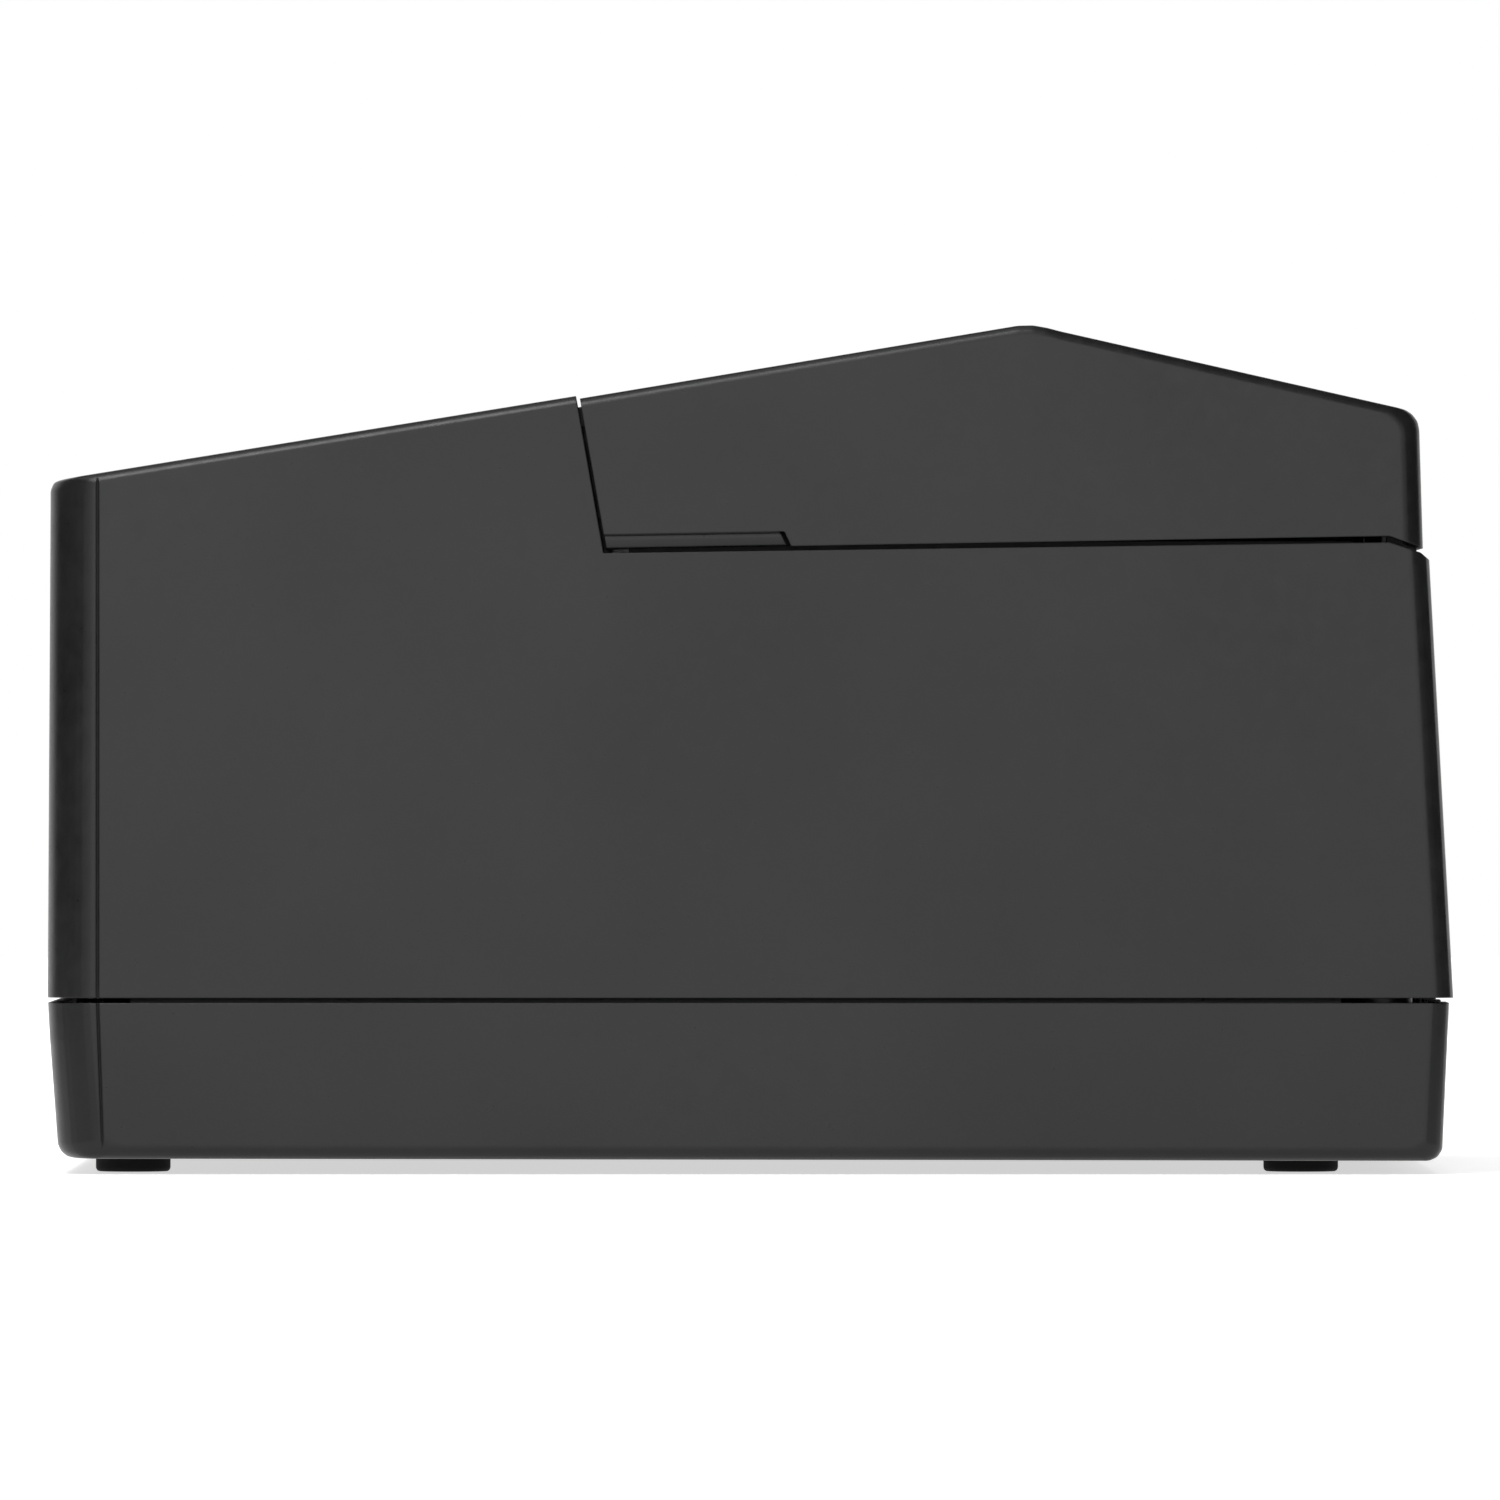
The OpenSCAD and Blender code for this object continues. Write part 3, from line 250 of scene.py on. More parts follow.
def softened(outline, reach, count=4):
    # outline with its corners rounded by short curves
    out = []
    n = len(outline)
    for i in range(n):
        before, here, after = (Vector(outline[k % n]) for k in (i - 1, i, i + 1))
        ends = []
        for other in (before, after):
            gap = sqrt((other[0] - here[0]) ** 2 + (other[1] - here[1]) ** 2)
            ends.append(here.lerp(other, min(reach / gap, 0.42)))
        for k in range(count + 1):
            t = k / count
            out.append(ends[0] * (1 - t) ** 2 + here * 2 * t * (1 - t) + ends[1] * t * t)
    return out


def skin(outline, w, rf, rr, re, reach=0.4):
    # closed body across the width, with front corners rf, rear corners rr and side edges re
    deepest = max(rf, rr, re)
    steps = sorted({round(r * (1 - cos(radians(a))), 4) for r, turn in ((deepest, 9), (re, 15))
                    for a in range(0, 91, turn)})
    steps = [d for i, d in enumerate(steps) if i == 0 or d - steps[i - 1] > 0.012 or d == deepest]
    slices = [(-w + d, d) for d in steps] + [(w - d, d) for d in reversed(steps)]
    points = softened(outline, reach)
    levels = []
    for x, d in slices:
        f, r, e = lost(d, rf), lost(d, rr), lost(d, re)
        levels.append([(x, p[0] + p[2] * f - p[3] * r, p[1] + p[4] * f - p[5] * r - p[6] * e)
                       for p in points])
    return ringed(levels)


# ---- materials

def newMaterial(name):
    mat = bpy.data.materials.new(name)
    mat.use_nodes = True
    mat.node_tree.nodes.clear()
    return mat, mat.node_tree


def feed(tree, socket, value):
    # the value is a plain one, or the socket that drives this one
    if isinstance(value, bpy.types.NodeSocket):
        tree.links.new(value, socket)
    else:
        socket.default_value = value


def principled(tree, inputs):
    surface = addNode(tree, "ShaderNodeBsdfPrincipled")
    for key, value in inputs.items():
        feed(tree, surface.inputs[key], value)
    addNode(tree, "ShaderNodeOutputMaterial", links={"Surface": surface.outputs[0]})
    return surface


def blend(tree, factor, one, two):
    # colour one where the factor is 0, colour two where it is 1
    mix = addNode(tree, "ShaderNodeMix", {"data_type": "RGBA"}, {7: two}, {0: factor})
    feed(tree, mix.inputs[6], one)
    return mix.outputs[2]


def noise(tree, place, size, detail=3.0, rough=0.55):
    return addNode(tree, "ShaderNodeTexNoise", links={"Vector": place},
                   values={"Scale": 1000 / size, "Detail": detail, "Roughness": rough}).outputs[0]


def ramped(tree, source, low, high, bottom, top):
    return addNode(tree, "ShaderNodeMapRange", values={1: low, 2: high, 3: bottom, 4: top},
                   links={0: source}).outputs[0]


def bumped(tree, height, strength, depth, edge=0.0):
    links = {"Height": height}
    if edge:
        links["Normal"] = addNode(tree, "ShaderNodeBevel", {"samples": 4}, {"Radius": edge * mm}).outputs[0]
    return addNode(tree, "ShaderNodeBump", values={"Strength": strength, "Distance": depth * mm},
                   links=links).outputs[0]


def scaledSum(tree, one, share, two):
    return addNode(tree, "ShaderNodeMath", {"operation": "MULTIPLY_ADD"},
                   {1: share}, {0: one, 2: two}).outputs[0]


def mouldedPlastic(name, look):
    # spark eroded grain, with flow marks and handling sheen over it
    mat, tree = newMaterial(name)
    place = addNode(tree, "ShaderNodeTexCoord").outputs["Object"]
    grain = noise(tree, place, look["grain"], 4.0, 0.65)
    pits = addNode(tree, "ShaderNodeTexVoronoi", {"feature": "F1"}, {"Scale": 1000 / look["pits"]},
                   {"Vector": place}).outputs["Distance"]
    mottle = noise(tree, place, 2.6, 5.0, 0.7)
    cloud = noise(tree, place, 45, 2.0)
    mixed = scaledSum(tree, mottle, 0.55, cloud)
    base = blend(tree, ramped(tree, mixed, 0.6, 0.95, 0.0, 1.0), colour(look["dark"]), colour(look["light"]))
    height = scaledSum(tree, pits, -0.25, grain)
    principled(tree, {
        "Base Color": base,
        "Roughness": ramped(tree, mottle, 0.3, 0.7, look["rough"] - 0.05, look["rough"] + 0.05),
        "Specular IOR Level": look["shine"],
        "Normal": bumped(tree, height, look["depth"], 0.06, look["edge"]),
    })
    return mat


def smoothPlastic(name, look):
    mat, tree = newMaterial(name)
    place = addNode(tree, "ShaderNodeTexCoord").outputs["Object"]
    flow = noise(tree, place, look.get("flow", 7))
    principled(tree, {
        "Base Color": blend(tree, flow, colour(look["code"]), lighter(look["code"], 1.25)),
        "Roughness": ramped(tree, flow, 0.3, 0.7, look["rough"] - 0.04, look["rough"] + 0.04),
        "Normal": bumped(tree, flow, 0.12, 0.03, 0.2),
        "Transmission Weight": look.get("clear", 0.0),
        "IOR": 1.49,
    })
    return mat


def metal(name, look):
    # worked metal with fine marks drawn out along one axis
    mat, tree = newMaterial(name)
    place = addNode(tree, "ShaderNodeTexCoord").outputs["Object"]
    stretch = [1.0, 1.0, 1.0]
    stretch["xyz".index(look["along"])] = 0.04
    drawn = addNode(tree, "ShaderNodeMapping", values={"Scale": stretch}, links={"Vector": place}).outputs[0]
    marks = noise(tree, drawn, look["brush"])
    stain = noise(tree, place, 11, 2.0)
    principled(tree, {
        "Base Color": blend(tree, stain, colour(look["code"]), lighter(look["code"], 0.84)),
        "Roughness": ramped(tree, marks, 0.3, 0.7, look["rough"] - 0.06, look["rough"] + 0.1),
        "Metallic": 1.0,
        "Normal": bumped(tree, marks, 0.2, 0.01, 0.12),
    })
    return mat


def rubber(name, look):
    mat, tree = newMaterial(name)
    place = addNode(tree, "ShaderNodeTexCoord").outputs["Object"]
    grit = noise(tree, place, look["grain"], 5.0)
    dust = noise(tree, place, 9, 3.0)
    principled(tree, {
        "Base Color": blend(tree, dust, colour(look["code"]), lighter(look["code"], 1.7)),
        "Roughness": look["rough"],
        "Specular IOR Level": 0.3,
        "Normal": bumped(tree, grit, 0.4, 0.04),
    })
    return mat


def circuitBoard(name):
    # copper tracks and vias showing through green solder mask
    mat, tree = newMaterial(name)
    place = addNode(tree, "ShaderNodeTexCoord").outputs["Object"]
    tracks = addNode(tree, "ShaderNodeTexBrick", {"offset": 0.37},
                     {"Scale": 1000 / 9, "Mortar Size": 0.05, "Brick Width": 0.9, "Row Height": 0.22,
                      "Color1": colour("#0d4a2d"), "Color2": colour("#0f5434"), "Mortar": colour("#1f7a4c")},
                     {"Vector": place})
    vias = addNode(tree, "ShaderNodeTexVoronoi", {"feature": "F1"}, {"Scale": 1000 / 4.5, "Randomness": 0.9},
                   {"Vector": place}).outputs["Distance"]
    dots = ramped(tree, vias, 0.08, 0.1, 1.0, 0.0)
    principled(tree, {
        "Base Color": blend(tree, dots, tracks.outputs["Color"], colour("#b7a15a")),
        "Roughness": 0.34,
        "Normal": bumped(tree, tracks.outputs["Fac"], 0.3, 0.03),
    })
    return mat


slotLooks = {
    "shell": mouldedPlastic("ABS moulded, charcoal black", {
        "dark": "#171718", "light": "#1e1e1f", "grain": 0.32, "pits": 0.55, "depth": 0.18,
        "edge": 0.28, "rough": 0.32, "shine": 0.25}),
    "inner_plastic": mouldedPlastic("ABS moulded, inner black", {
        "dark": "#111112", "light": "#18181a", "grain": 0.5, "pits": 0.9, "depth": 0.2,
        "edge": 0.2, "rough": 0.58, "shine": 0.16}),
    "button_plastic": mouldedPlastic("ABS moulded, keys", {
        "dark": "#323234", "light": "#3a3a3c", "grain": 0.2, "pits": 0.4, "depth": 0.2,
        "edge": 0.25, "rough": 0.38, "shine": 0.4}),
    "acetal": smoothPlastic("acetal, natural", {"code": "#dcd9cd", "rough": 0.36}),
    "clear_pipe": smoothPlastic("acrylic, frosted", {"code": "#c3cfc8", "rough": 0.24, "clear": 0.35}),
    "steel": metal("zinc plated steel", {
        "code": "#c2c4c6", "rough": 0.34, "brush": 0.3, "along": "x"}),
    "blade_steel": metal("ground blade steel", {
        "code": "#d6d6d4", "rough": 0.24, "brush": 0.12, "along": "y"}),
    "aluminium": metal("aluminium extrusion", {
        "code": "#d0d1d2", "rough": 0.32, "brush": 0.25, "along": "x"}),
    "ceramic": smoothPlastic("glazed ceramic", {"code": "#b5a88f", "rough": 0.2, "flow": 20}),
    "roller_rubber": rubber("silicone rubber, ground", {"code": "#19191a", "rough": 0.6, "grain": 0.3}),
    "foot_rubber": rubber("nitrile rubber", {"code": "#0f0f0f", "rough": 0.82, "grain": 0.4}),
    "motor_steel": metal("motor can, plated", {
        "code": "#8d9094", "rough": 0.38, "brush": 0.4, "along": "x"}),
    "circuit_board": circuitBoard("circuit board laminate"),
    "component_plastic": smoothPlastic("epoxy moulding", {"code": "#151516", "rough": 0.5}),
    "socket_metal": metal("tin plated steel", {
        "code": "#c8cacc", "rough": 0.3, "brush": 0.3, "along": "y"}),
    "cable_film": smoothPlastic("polyimide film", {"code": "#b0652a", "rough": 0.3, "flow": 14}),
}
slotOf = {s["node"]: s["material_slot"] for s in frame["record"]["subparts"]}
for node, obj in frame["nodes"].items():
    obj.data.materials.clear()
    obj.data.materials.append(slotLooks[slotOf[node]])
shell = slotLooks["shell"]
print("materials ready")


# ---- outlines of the shells
# each point: y, z, share of the front corner, of the rear corner, climb with each, edge drop

trayOutline = [
    (front + 4, 2, 1, 0, 0, 0, -1), (rear - 3.3, 1.7, 0, 1, 0, 0, -1), (rear - 2.2, 2.2, 0, 1, 0, 0, -1),
    (rear - 1.5, 3.3, 0, 1, 0, 0, -0.6), (rear - 0.07, 34, 0, 1, 0, 0, 0),
    (front - 0.5, 34, 1, 0, 0, 0, 0), (front + 0.3, 18.6, 1, 0, 0, 0, 0),
    (front + 1.4, 3.9, 1, 0, 0, 0, -0.6), (front + 1.9, 2.9, 1, 0, 0, 0, -1),
    (front + 2.7, 2.25, 1, 0, 0, 0, -1),
]
trayInside = [
    (front + 1.7 + wall, 2 + wall, 1, 0, 0, 0, -1), (rear - 1.5 - wall, 2 + wall, 0, 1, 0, 0, -1),
    (rear - 0.07 - wall, 34, 0, 1, 0, 0, 0), (front - 0.9 + wall, 34, 1, 0, 0, 0, 0),
]
caseOutline = [
    (front - 0.05, 16, 1, 0, 0, 0, 0), (rear + 0.46, 16, 0, 1, 0, 0, 0),
    (rear - 5.6, slopeAt(rear - 5.6), 0, 1, 0, climb, 1),
    (front + 1.9, slopeAt(front + 1.9), 1, 0, climb, 0, 1),
    (front + 0.85, slopeAt(front + 1.9) - 0.4, 1, 0, climb, 0, 1),
    (front + 0.4, slopeAt(front + 1.9) - 1.5, 1, 0, climb, 0, 0.8),
]
caseInside = [
    (front + wall - 0.1, 8, 1, 0, 0, 0, 0), (rear + 0.9 - wall, 8, 0, 1, 0, 0, 0),
    (rear - 5.6 - wall, slopeAt(rear - 5.6 - wall) - wall, 0, 1, 0, climb, 1),
    (front + wall + 0.5, slopeAt(front + wall + 0.5) - wall, 1, 0, climb, 0, 1),
]
lidOutline = [
    (-60, 76, 0, 0, 0, 0, 0), (rear - 3.88, 76, 0, 1, 0, 0, 0), (rear - 4.7, 103, 0, 1, 0, 0, 0.4),
    (rear - 4.95, 104.2, 0, 1, 0, 0, 0.7), (rear - 5.7, 105.2, 0, 1, 0, -0.1, 1),
    (rear - 6.6, 105.8, 0, 1, 0, -0.2, 1), (rear - 7.5, 106.04, 0, 1, 0, -0.227, 1),
    (ridgeY + 4.9, ridgeHigh - 0.8, 0, 0, 0, 0, 1), (ridgeY + 3.2, ridgeHigh - 0.35, 0, 0, 0, 0, 1),
    (ridgeY + 1.2, ridgeHigh, 0, 0, 0, 0, 1), (ridgeY - 0.9, ridgeHigh - 0.05, 0, 0, 0, 0, 1),
    (-60, 101.3, 0, 0, 0, 0, 1),
]
lidInside = [
    (-62, 66, 0, 0, 0, 0, 0), (rear - 3.6 - lidWall, 66, 0, 1, 0, 0, 0),
    (rear - 4.7 - lidWall, 103, 0, 1, 0, 0, 1), (rear - 7.6, 106 - lidWall, 0, 1, 0, -0.2, 1),
    (ridgeY + 1.2, ridgeHigh - lidWall, 0, 0, 0, 0, 1), (-62, 101 - lidWall, 0, 0, 0, 0, 1),
]
lidRoom = [
    mechPoint(-lidGap / 2, -lidGap / 2), (rear - 8.9, 87.4), (rear - 4.6, 86), (rear - 3.3, 84.95),
    (rear + 6, 77.1), (rear + 6, 160), mechPoint(-lidGap / 2, 70),
]
lidEdges = [
    mechPoint(lidGap / 2, lidGap / 2), (rear - 8.9, 88.3), (rear - 4.2, 86.6),
    (rear + 6, 86.6), (rear + 6, 160), mechPoint(lidGap / 2, 70),
]
# along the rear wall: from x, to x, top
sockets = {"power": (-49, -35, 22.8), "drawer": (-30, -17, 22.8), "network": (-10, 6, 23.2),
           "data": (13, 25, 20.9), "switch": (34, 53, 22.8)}
boardTop, socketGap, tabX = 9.8, 0.35, 63
floorRoot = 3.8
vent = {"long": 26, "wide": 2.4, "step": 9, "y": 47}
caseBosses = [(s * 63.5, y) for s in both for y in (-76, 88)]
boardPosts = [(s * 52, y) for s in both for y in (-44, 66)]
footSpots = [(s * 56, y) for s in both for y in (-85.9, 76.7)]
keySpot = (44, -57.5)
cover = {"half": 60, "front": -64, "thick": 2.4, "gap": 0.35, "ledge": 0.02, "keyRoom": 9.4}
frameBosses = [(s * 66.1, y) for s in both for y in (-58, -16)]
rearBosses = [(s * 66.1, 68) for s in both]
holderBosses = [(x, 10) for x in (-34, -12, 12, 34)]


def socketBox(name):
    low, high, top = sockets[name]
    return low, high, boardTop, top


def bored(spots, low, high, r):
    return [bar("z", low, high, spot, r) for spot in spots]


def crease(low, high, yLow, yHigh, wide=0.26, deep=0.3):
    # V groove up both sides
    section = ((0.3, -wide * 2), (0.3, wide * 2), (-deep, 0))
    return gather(*[ringed([[(s * (half + a), y + b, z) for a, b in section]
                            for z, y in ((low, yLow), (high, yHigh))]) for s in both])


# ---- lower tray

tray = objectFrom("tray_shell", skin(trayOutline, half, frontCorner, rearCorner, 2))
carve(tray, block((-100, -110, traySeam - trayGap), (100, 110, 60)))
carve(tray, skin(trayInside, half - wall, innerFront, innerRear, 1))
lip = [(68.8, 12), (70, 12), (70, 22.6), (69.3, 24), (69.3, 26.3), (69.1, 26.5), (68.8, 26.5)]
additions = [prism([(s * x, z) for x, z in lip], -86, 82, "y") for s in both]
additions += [block((s * 69.1 - 1.4, -84, floorRoot), (s * 69.1 + 1.4, 80, 13)) for s in both]
frontLip = [(front + wall + 0.3 + 70 - x, z) for x, z in lip]
additions += [prism(frontLip, -60, 60),
              block((-58, front + wall - 0.2, floorRoot), (58, front + wall + 1.4, 13))]
additions += bored(caseBosses, floorRoot, traySeam, 4) + bored(boardPosts, floorRoot, boardTop - 1.6, 3)
additions += [block((x - 0.8, -88, floorRoot), (x + 0.8, 80, 6)) for x in (-30, 0, 30)]
additions += [block((-66, y - 0.8, floorRoot), (66, y + 0.8, 6)) for y in (-62, -18, 26)]
carve(tray, gather(*additions), "UNION")
cuts = bored(footSpots, 1, 2.9, 5.4) + bored(caseBosses, -1, 40, 1.7) + bored(caseBosses, -1, 5.5, 3.2)
cuts += bored(boardPosts, 4.6, 14.6, 1.1)
cuts += [block((low - socketGap, rear - 8, boardTop - 0.9), (high + socketGap, rear + 4, 40))
         for low, high, top in sockets.values()]
slit = [(b, a) for a, b in capsule(vent["long"], vent["wide"])]
cuts += [prism(shifted(slit, k * vent["step"], vent["y"]), -1, 8, "z") for k in range(-5, 6)]
cuts.append(crease(-1, traySeam, front + frontCorner + 0.86, front + frontCorner))
carve(tray, gather(*cuts))
standIn(tray, shell, ["bottom_case"], "case")
print("tray", len(tray.data.polygons))


# ---- upper case

def inFrame(matrix, *parts):
    return gather(*[(part, matrix) for part in parts])


def strips(x, w, depth, height):
    # the same box on both sides
    return [block((s * x - w, depth[0], height[0]), (s * x + w, depth[1], height[1])) for s in both]


hinge = {"pin": 1, "play": 0.04, "knuckle": 2.9, "wide": 3.6, "gap": 0.4, "arm": 2.6}
case = objectFrom("case_shell", skin(caseOutline, half, frontCorner, rearCorner, edgeRound))
carve(case, skin(caseInside, half - wall, innerFront, innerRear, innerEdge))
openHalf, openFront = cover["half"] + cover["gap"], cover["front"] - cover["gap"]
carve(case, inFrame(toSlope, block((-openHalf, openFront, -9), (openHalf, 20, 9))))
# ledge under the front cover
ledgeTop = -cover["thick"] - cover["ledge"]
ledge = strips(61.5, 3.5, (-66, -4), (-4.2, ledgeTop)) + strips(63, 2, (-66, -4), (-3.4, -1.2))
ledge += [block((-64, -66.6, -4.2), (64, -61.4, ledgeTop)), block((-64, -68, -3.4), (64, -65, -1.2))]
# flanges beside the mechanism, rails under its deck and bosses on them
mechHalf = 57.5
flangeX, flangeWide = (half + mechHalf - wall) / 2, (half - mechHalf - wall) / 2 + 0.4
deckRests = strips(flangeX, flangeWide, (-2.6, -0.2), (-3, 19.4))
deckRests += strips(68.1, 2.4, (-64, -4), (deckLow - 2.4, deckLow))
deckRests += [block((x - 4.4, y - 4, deckLow - 9), (x + 4.4, y + 4, deckLow)) for x, y in frameBosses]
additions = [inFrame(toSlope, *ledge), inFrame(toMech, *deckRests)]
additions += [block((x - 4.4, y - 4, 73), (x + 4.4, y + 4, 82)) for x, y in rearBosses]
additions += bored(caseBosses, traySeam, traySeam + 24, 4)
additions += [block((s * 67.1 - 3.2, y - 1, traySeam + 4), (s * 67.1 + 3.2, y + 1, traySeam + 24))
              for s in both for y in (-76, 86)]
for s in both:
    for t in both:
        x = s * armX + t * (armWide / 2 + hinge["gap"] + hinge["wide"] / 2)
        low, high, r = x - hinge["wide"] / 2, x + hinge["wide"] / 2, hinge["knuckle"]
        additions += [bar("x", low, high, (hingeY, hingeZ), r),
                      block((low, hingeY - r, hingeZ - 8), (high, hingeY + 1.5, hingeZ))]
carve(case, gather(*additions), "UNION")
cuts = [block((-100, -110, -1), (100, 110, traySeam)), prism(lidRoom, -100, 100)]
cuts += bored(caseBosses, traySeam - 1, traySeam + 16, 1.5)
keyLow, keyHigh = keySpot[0] - cover["keyRoom"], keySpot[0] + cover["keyRoom"]
cuts.append(inFrame(toSlope, block((keyLow, -62.9, -4.6), (keyHigh, -60, -2))))
room = armWide / 2 + hinge["gap"]
pinHalf = room + hinge["wide"] - 0.2
for s in both:
    cuts += [block((s * armX - room, hingeY - 3, hingeZ - 3), (s * armX + room, rear + 9, hingeZ + 20)),
             bar("x", s * armX - pinHalf, s * armX + pinHalf, (hingeY, hingeZ), hinge["pin"])]
cuts.append(inFrame(toMech, *bored(frameBosses, deckLow - 7, deckLow + 3, 1.25)))
cuts += bored(rearBosses, 75, 85, 1.25)
cuts.append(crease(traySeam - 1, 98, front + frontCorner, front + frontCorner))
carve(case, gather(*cuts))
tabLine = softened([(-2.2, 17.6), (0.7, 17.6), (1, 18), (1, 20), (0.7, 20.4), (-2.2, 20.4)], 0.2)
fins = strips(57.05, 0.45, (-2.4, 0.9), (-2.8, 18.6))
fins += [prism(tabLine, s * tabX - 0.6, s * tabX + 0.6) for s in both]
carve(case, inFrame(toMech, *fins), "UNION")
standIn(case, shell, ["upper_case"], "case")
print("case", len(case.data.polygons))


# ---- lid

notch = {"long": 24.9, "high": 2.05, "deep": 1.5, "lean": 0.95, "climb": 0.0175}
# rail section: depth from the side face, share of the notch's height
rail = {"fall": 0.7, "section": [(1.7, 1.06), (0.6, 1.06), (0.5, 0.98), (0.37, 0.86), (0.32, 0.74),
                                 (0.3, 0.62), (0.45, 0.22), (0.6, 0.09), (0.85, 0.02), (1.7, 0.02)]}
lid = objectFrom("lid_shell", skin(lidOutline, half, 1, rearCorner, edgeRound))
carve(lid, skin(lidInside, half - lidWall, 1, 1, innerEdge))
roofHalf = 58
flangeX, flangeWide = (half + roofHalf - lidWall) / 2, (half - roofHalf - lidWall) / 2 + 0.4
ribLine = [(-8, 106), (ridgeY, ridgeHigh - 8), (rear - 7.2, 98.5), (rear - 7.2, 105.5),
           (ridgeY, ridgeHigh - 1), (-8, 109)]
additions = [inFrame(toMech, *strips(flangeX, flangeWide, (0, 2.6), (0, 19.8)))]
additions += [prism(ribLine, x - 0.8, x + 0.8) for x in (-63, -47.5, 47.5, 63)]
carve(lid, gather(*additions), "UNION")
carve(lid, prism(lidEdges, -100, 100), "INTERSECT")
armLine = [(hingeY - 2.3, hingeZ), (hingeY + 1.7, hingeZ), (hingeY + 1.6, 90.5), (hingeY - 0.6, 94.5),
           (hingeY - 2.6, 90)]
armSides = [(s * armX - armWide / 2, s * armX + armWide / 2) for s in both]
additions = [prism(armLine, low, high) for low, high in armSides]
additions += [bar("x", low, high, (hingeY, hingeZ), hinge["arm"]) for low, high in armSides]
additions.append(inFrame(toMech, *bored(holderBosses, 14.15, 19.85, 2.5)))
carve(lid, gather(*additions), "UNION")
cuts = [bar("x", low - 2, high + 2, (hingeY, hingeZ), hinge["pin"] + hinge["play"]) for low, high in armSides]
cuts.append(inFrame(toMech, *bored(holderBosses, 13, 18.5, 1)))
cuts.append(inFrame(toMech, *strips(tabX, 0.85, (-1, 1.4), (-1, 20.9))))
notchEnd = seamY + notch["long"]


def notchHeight(y, share):
    # the notch follows the lid's lower edge, which climbs a little
    return seamZ + lidGap / 2 + notch["climb"] * (y - seamY) + share * notch["high"]


notchLine = softened([(seamY - 4, notchHeight(seamY - 4, -2)),
                      (notchEnd + 3 * notch["lean"], notchHeight(notchEnd, -2)),
                      (notchEnd, notchHeight(notchEnd, 1)), (seamY - 4, notchHeight(seamY - 4, 1))], 0.25)
cuts += [prism(notchLine, s * half - notch["deep"], s * half + notch["deep"]) for s in both]
carve(lid, gather(*cuts))


def gripRail(side):
    # swelled rail along the notch; its rear end falls away to the notch's floor
    levels = [[], [], []]
    for deep, share in rail["section"]:
        back = notchEnd + (1 - share) * notch["lean"]
        stations = [(seamY + lidGap / 2 - share * notch["high"] * tan(slant), deep),
                    (back - rail["fall"], deep),
                    (back - 0.04, max(deep, notch["deep"] + 0.05))]
        for ring, (y, d) in zip(levels, stations):
            ring.append((side * (half - d), y, notchHeight(y, share)))
    return ringed(levels)


carve(lid, gather(*[gripRail(s) for s in both]), "UNION")
standIn(lid, shell, ["lid"], "lid")
print("lid", len(lid.data.polygons))


# ---- front cover over the mechanism and the key panel

pipeSpots = [(x, keySpot[1]) for x in (14, 21, 28)]
panelBosses = [(x, -58) for x in (6, 55.5)]
plate = objectFrom("front_cover_skin", block((-cover["half"], cover["front"], -cover["thick"]),
                                             (cover["half"], -0.5, 0)))
ribs = [block((x - 0.8, -51, -4.4), (x + 0.8, -11, -0.6)) for x in (-46, -20, 6)]
ribs += bored(panelBosses, -8.2, -1.2, 2)
for x in (-40, -14):
    ribs += [block((x - 5, -60.2, -5.6), (x + 5, -59, -1)), block((x - 5, -62.6, -5.6), (x + 5, -59.6, -4.5))]
carve(plate, gather(*ribs), "UNION")
exitLine = [(-43, 20), (-43, -4.1), (-42.5, -4.6), (42.5, -4.6), (43, -4.1), (43, 20)]
cuts = [prism(exitLine, -20, 20, "z"), prism(shifted(capsule(15.6, 8.1), *keySpot), -20, 20, "z")]
cuts += bored(pipeSpots, -20, 20, 1.6) + bored(panelBosses, -9, -3, 0.9)
carve(plate, gather(*cuts))
plate.data.transform(toSlope)
standIn(plate, shell, ["front_cover"], "case")


# ---- feet: soft pads, sunk in the middle

foot = {"rim": [(0, 4.75), (0.12, 5.0), (0.35, 5.15), (0.6, 5.2), (2.9, 5.2)],
        "hollow": [(-1, 3.1), (0.35, 2.9)]}
pads = objectFrom("foot_pads", gather(*[turnedBar("z", spot, foot["rim"], 64) for spot in footSpots]))
carve(pads, gather(*[turnedBar("z", spot, foot["hollow"], 48) for spot in footSpots]))
standIn(pads, slotLooks["foot_rubber"], ["rubber_feet"], "case", 50)
print("cover and feet ready")


# ---- geometry nodes for what repeats

def link(tree, source, target):
    tree.links.new(source, target)


def repeater(name, extra):
    # group with the pieces common to every pattern: spots, material, realized at the end
    tree = bpy.data.node_groups.new(name, "GeometryNodeTree")
    tree.interface.new_socket("Spots", in_out="INPUT", socket_type="NodeSocketGeometry")
    for label, kind in extra + [("Material", "NodeSocketMaterial")]:
        tree.interface.new_socket(label, in_out="INPUT", socket_type=kind)
    tree.interface.new_socket("Result", in_out="OUTPUT", socket_type="NodeSocketGeometry")
    into = addNode(tree, "NodeGroupInput")
    place = addNode(tree, "GeometryNodeInstanceOnPoints", links={"Points": into.outputs["Spots"]})
    solid = addNode(tree, "GeometryNodeRealizeInstances", links={"Geometry": place.outputs[0]})
    painted = addNode(tree, "GeometryNodeSetMaterial",
                      links={"Geometry": solid.outputs[0], "Material": into.outputs["Material"]})
    addNode(tree, "NodeGroupOutput", links={0: painted.outputs[0]})
    return tree, into, place


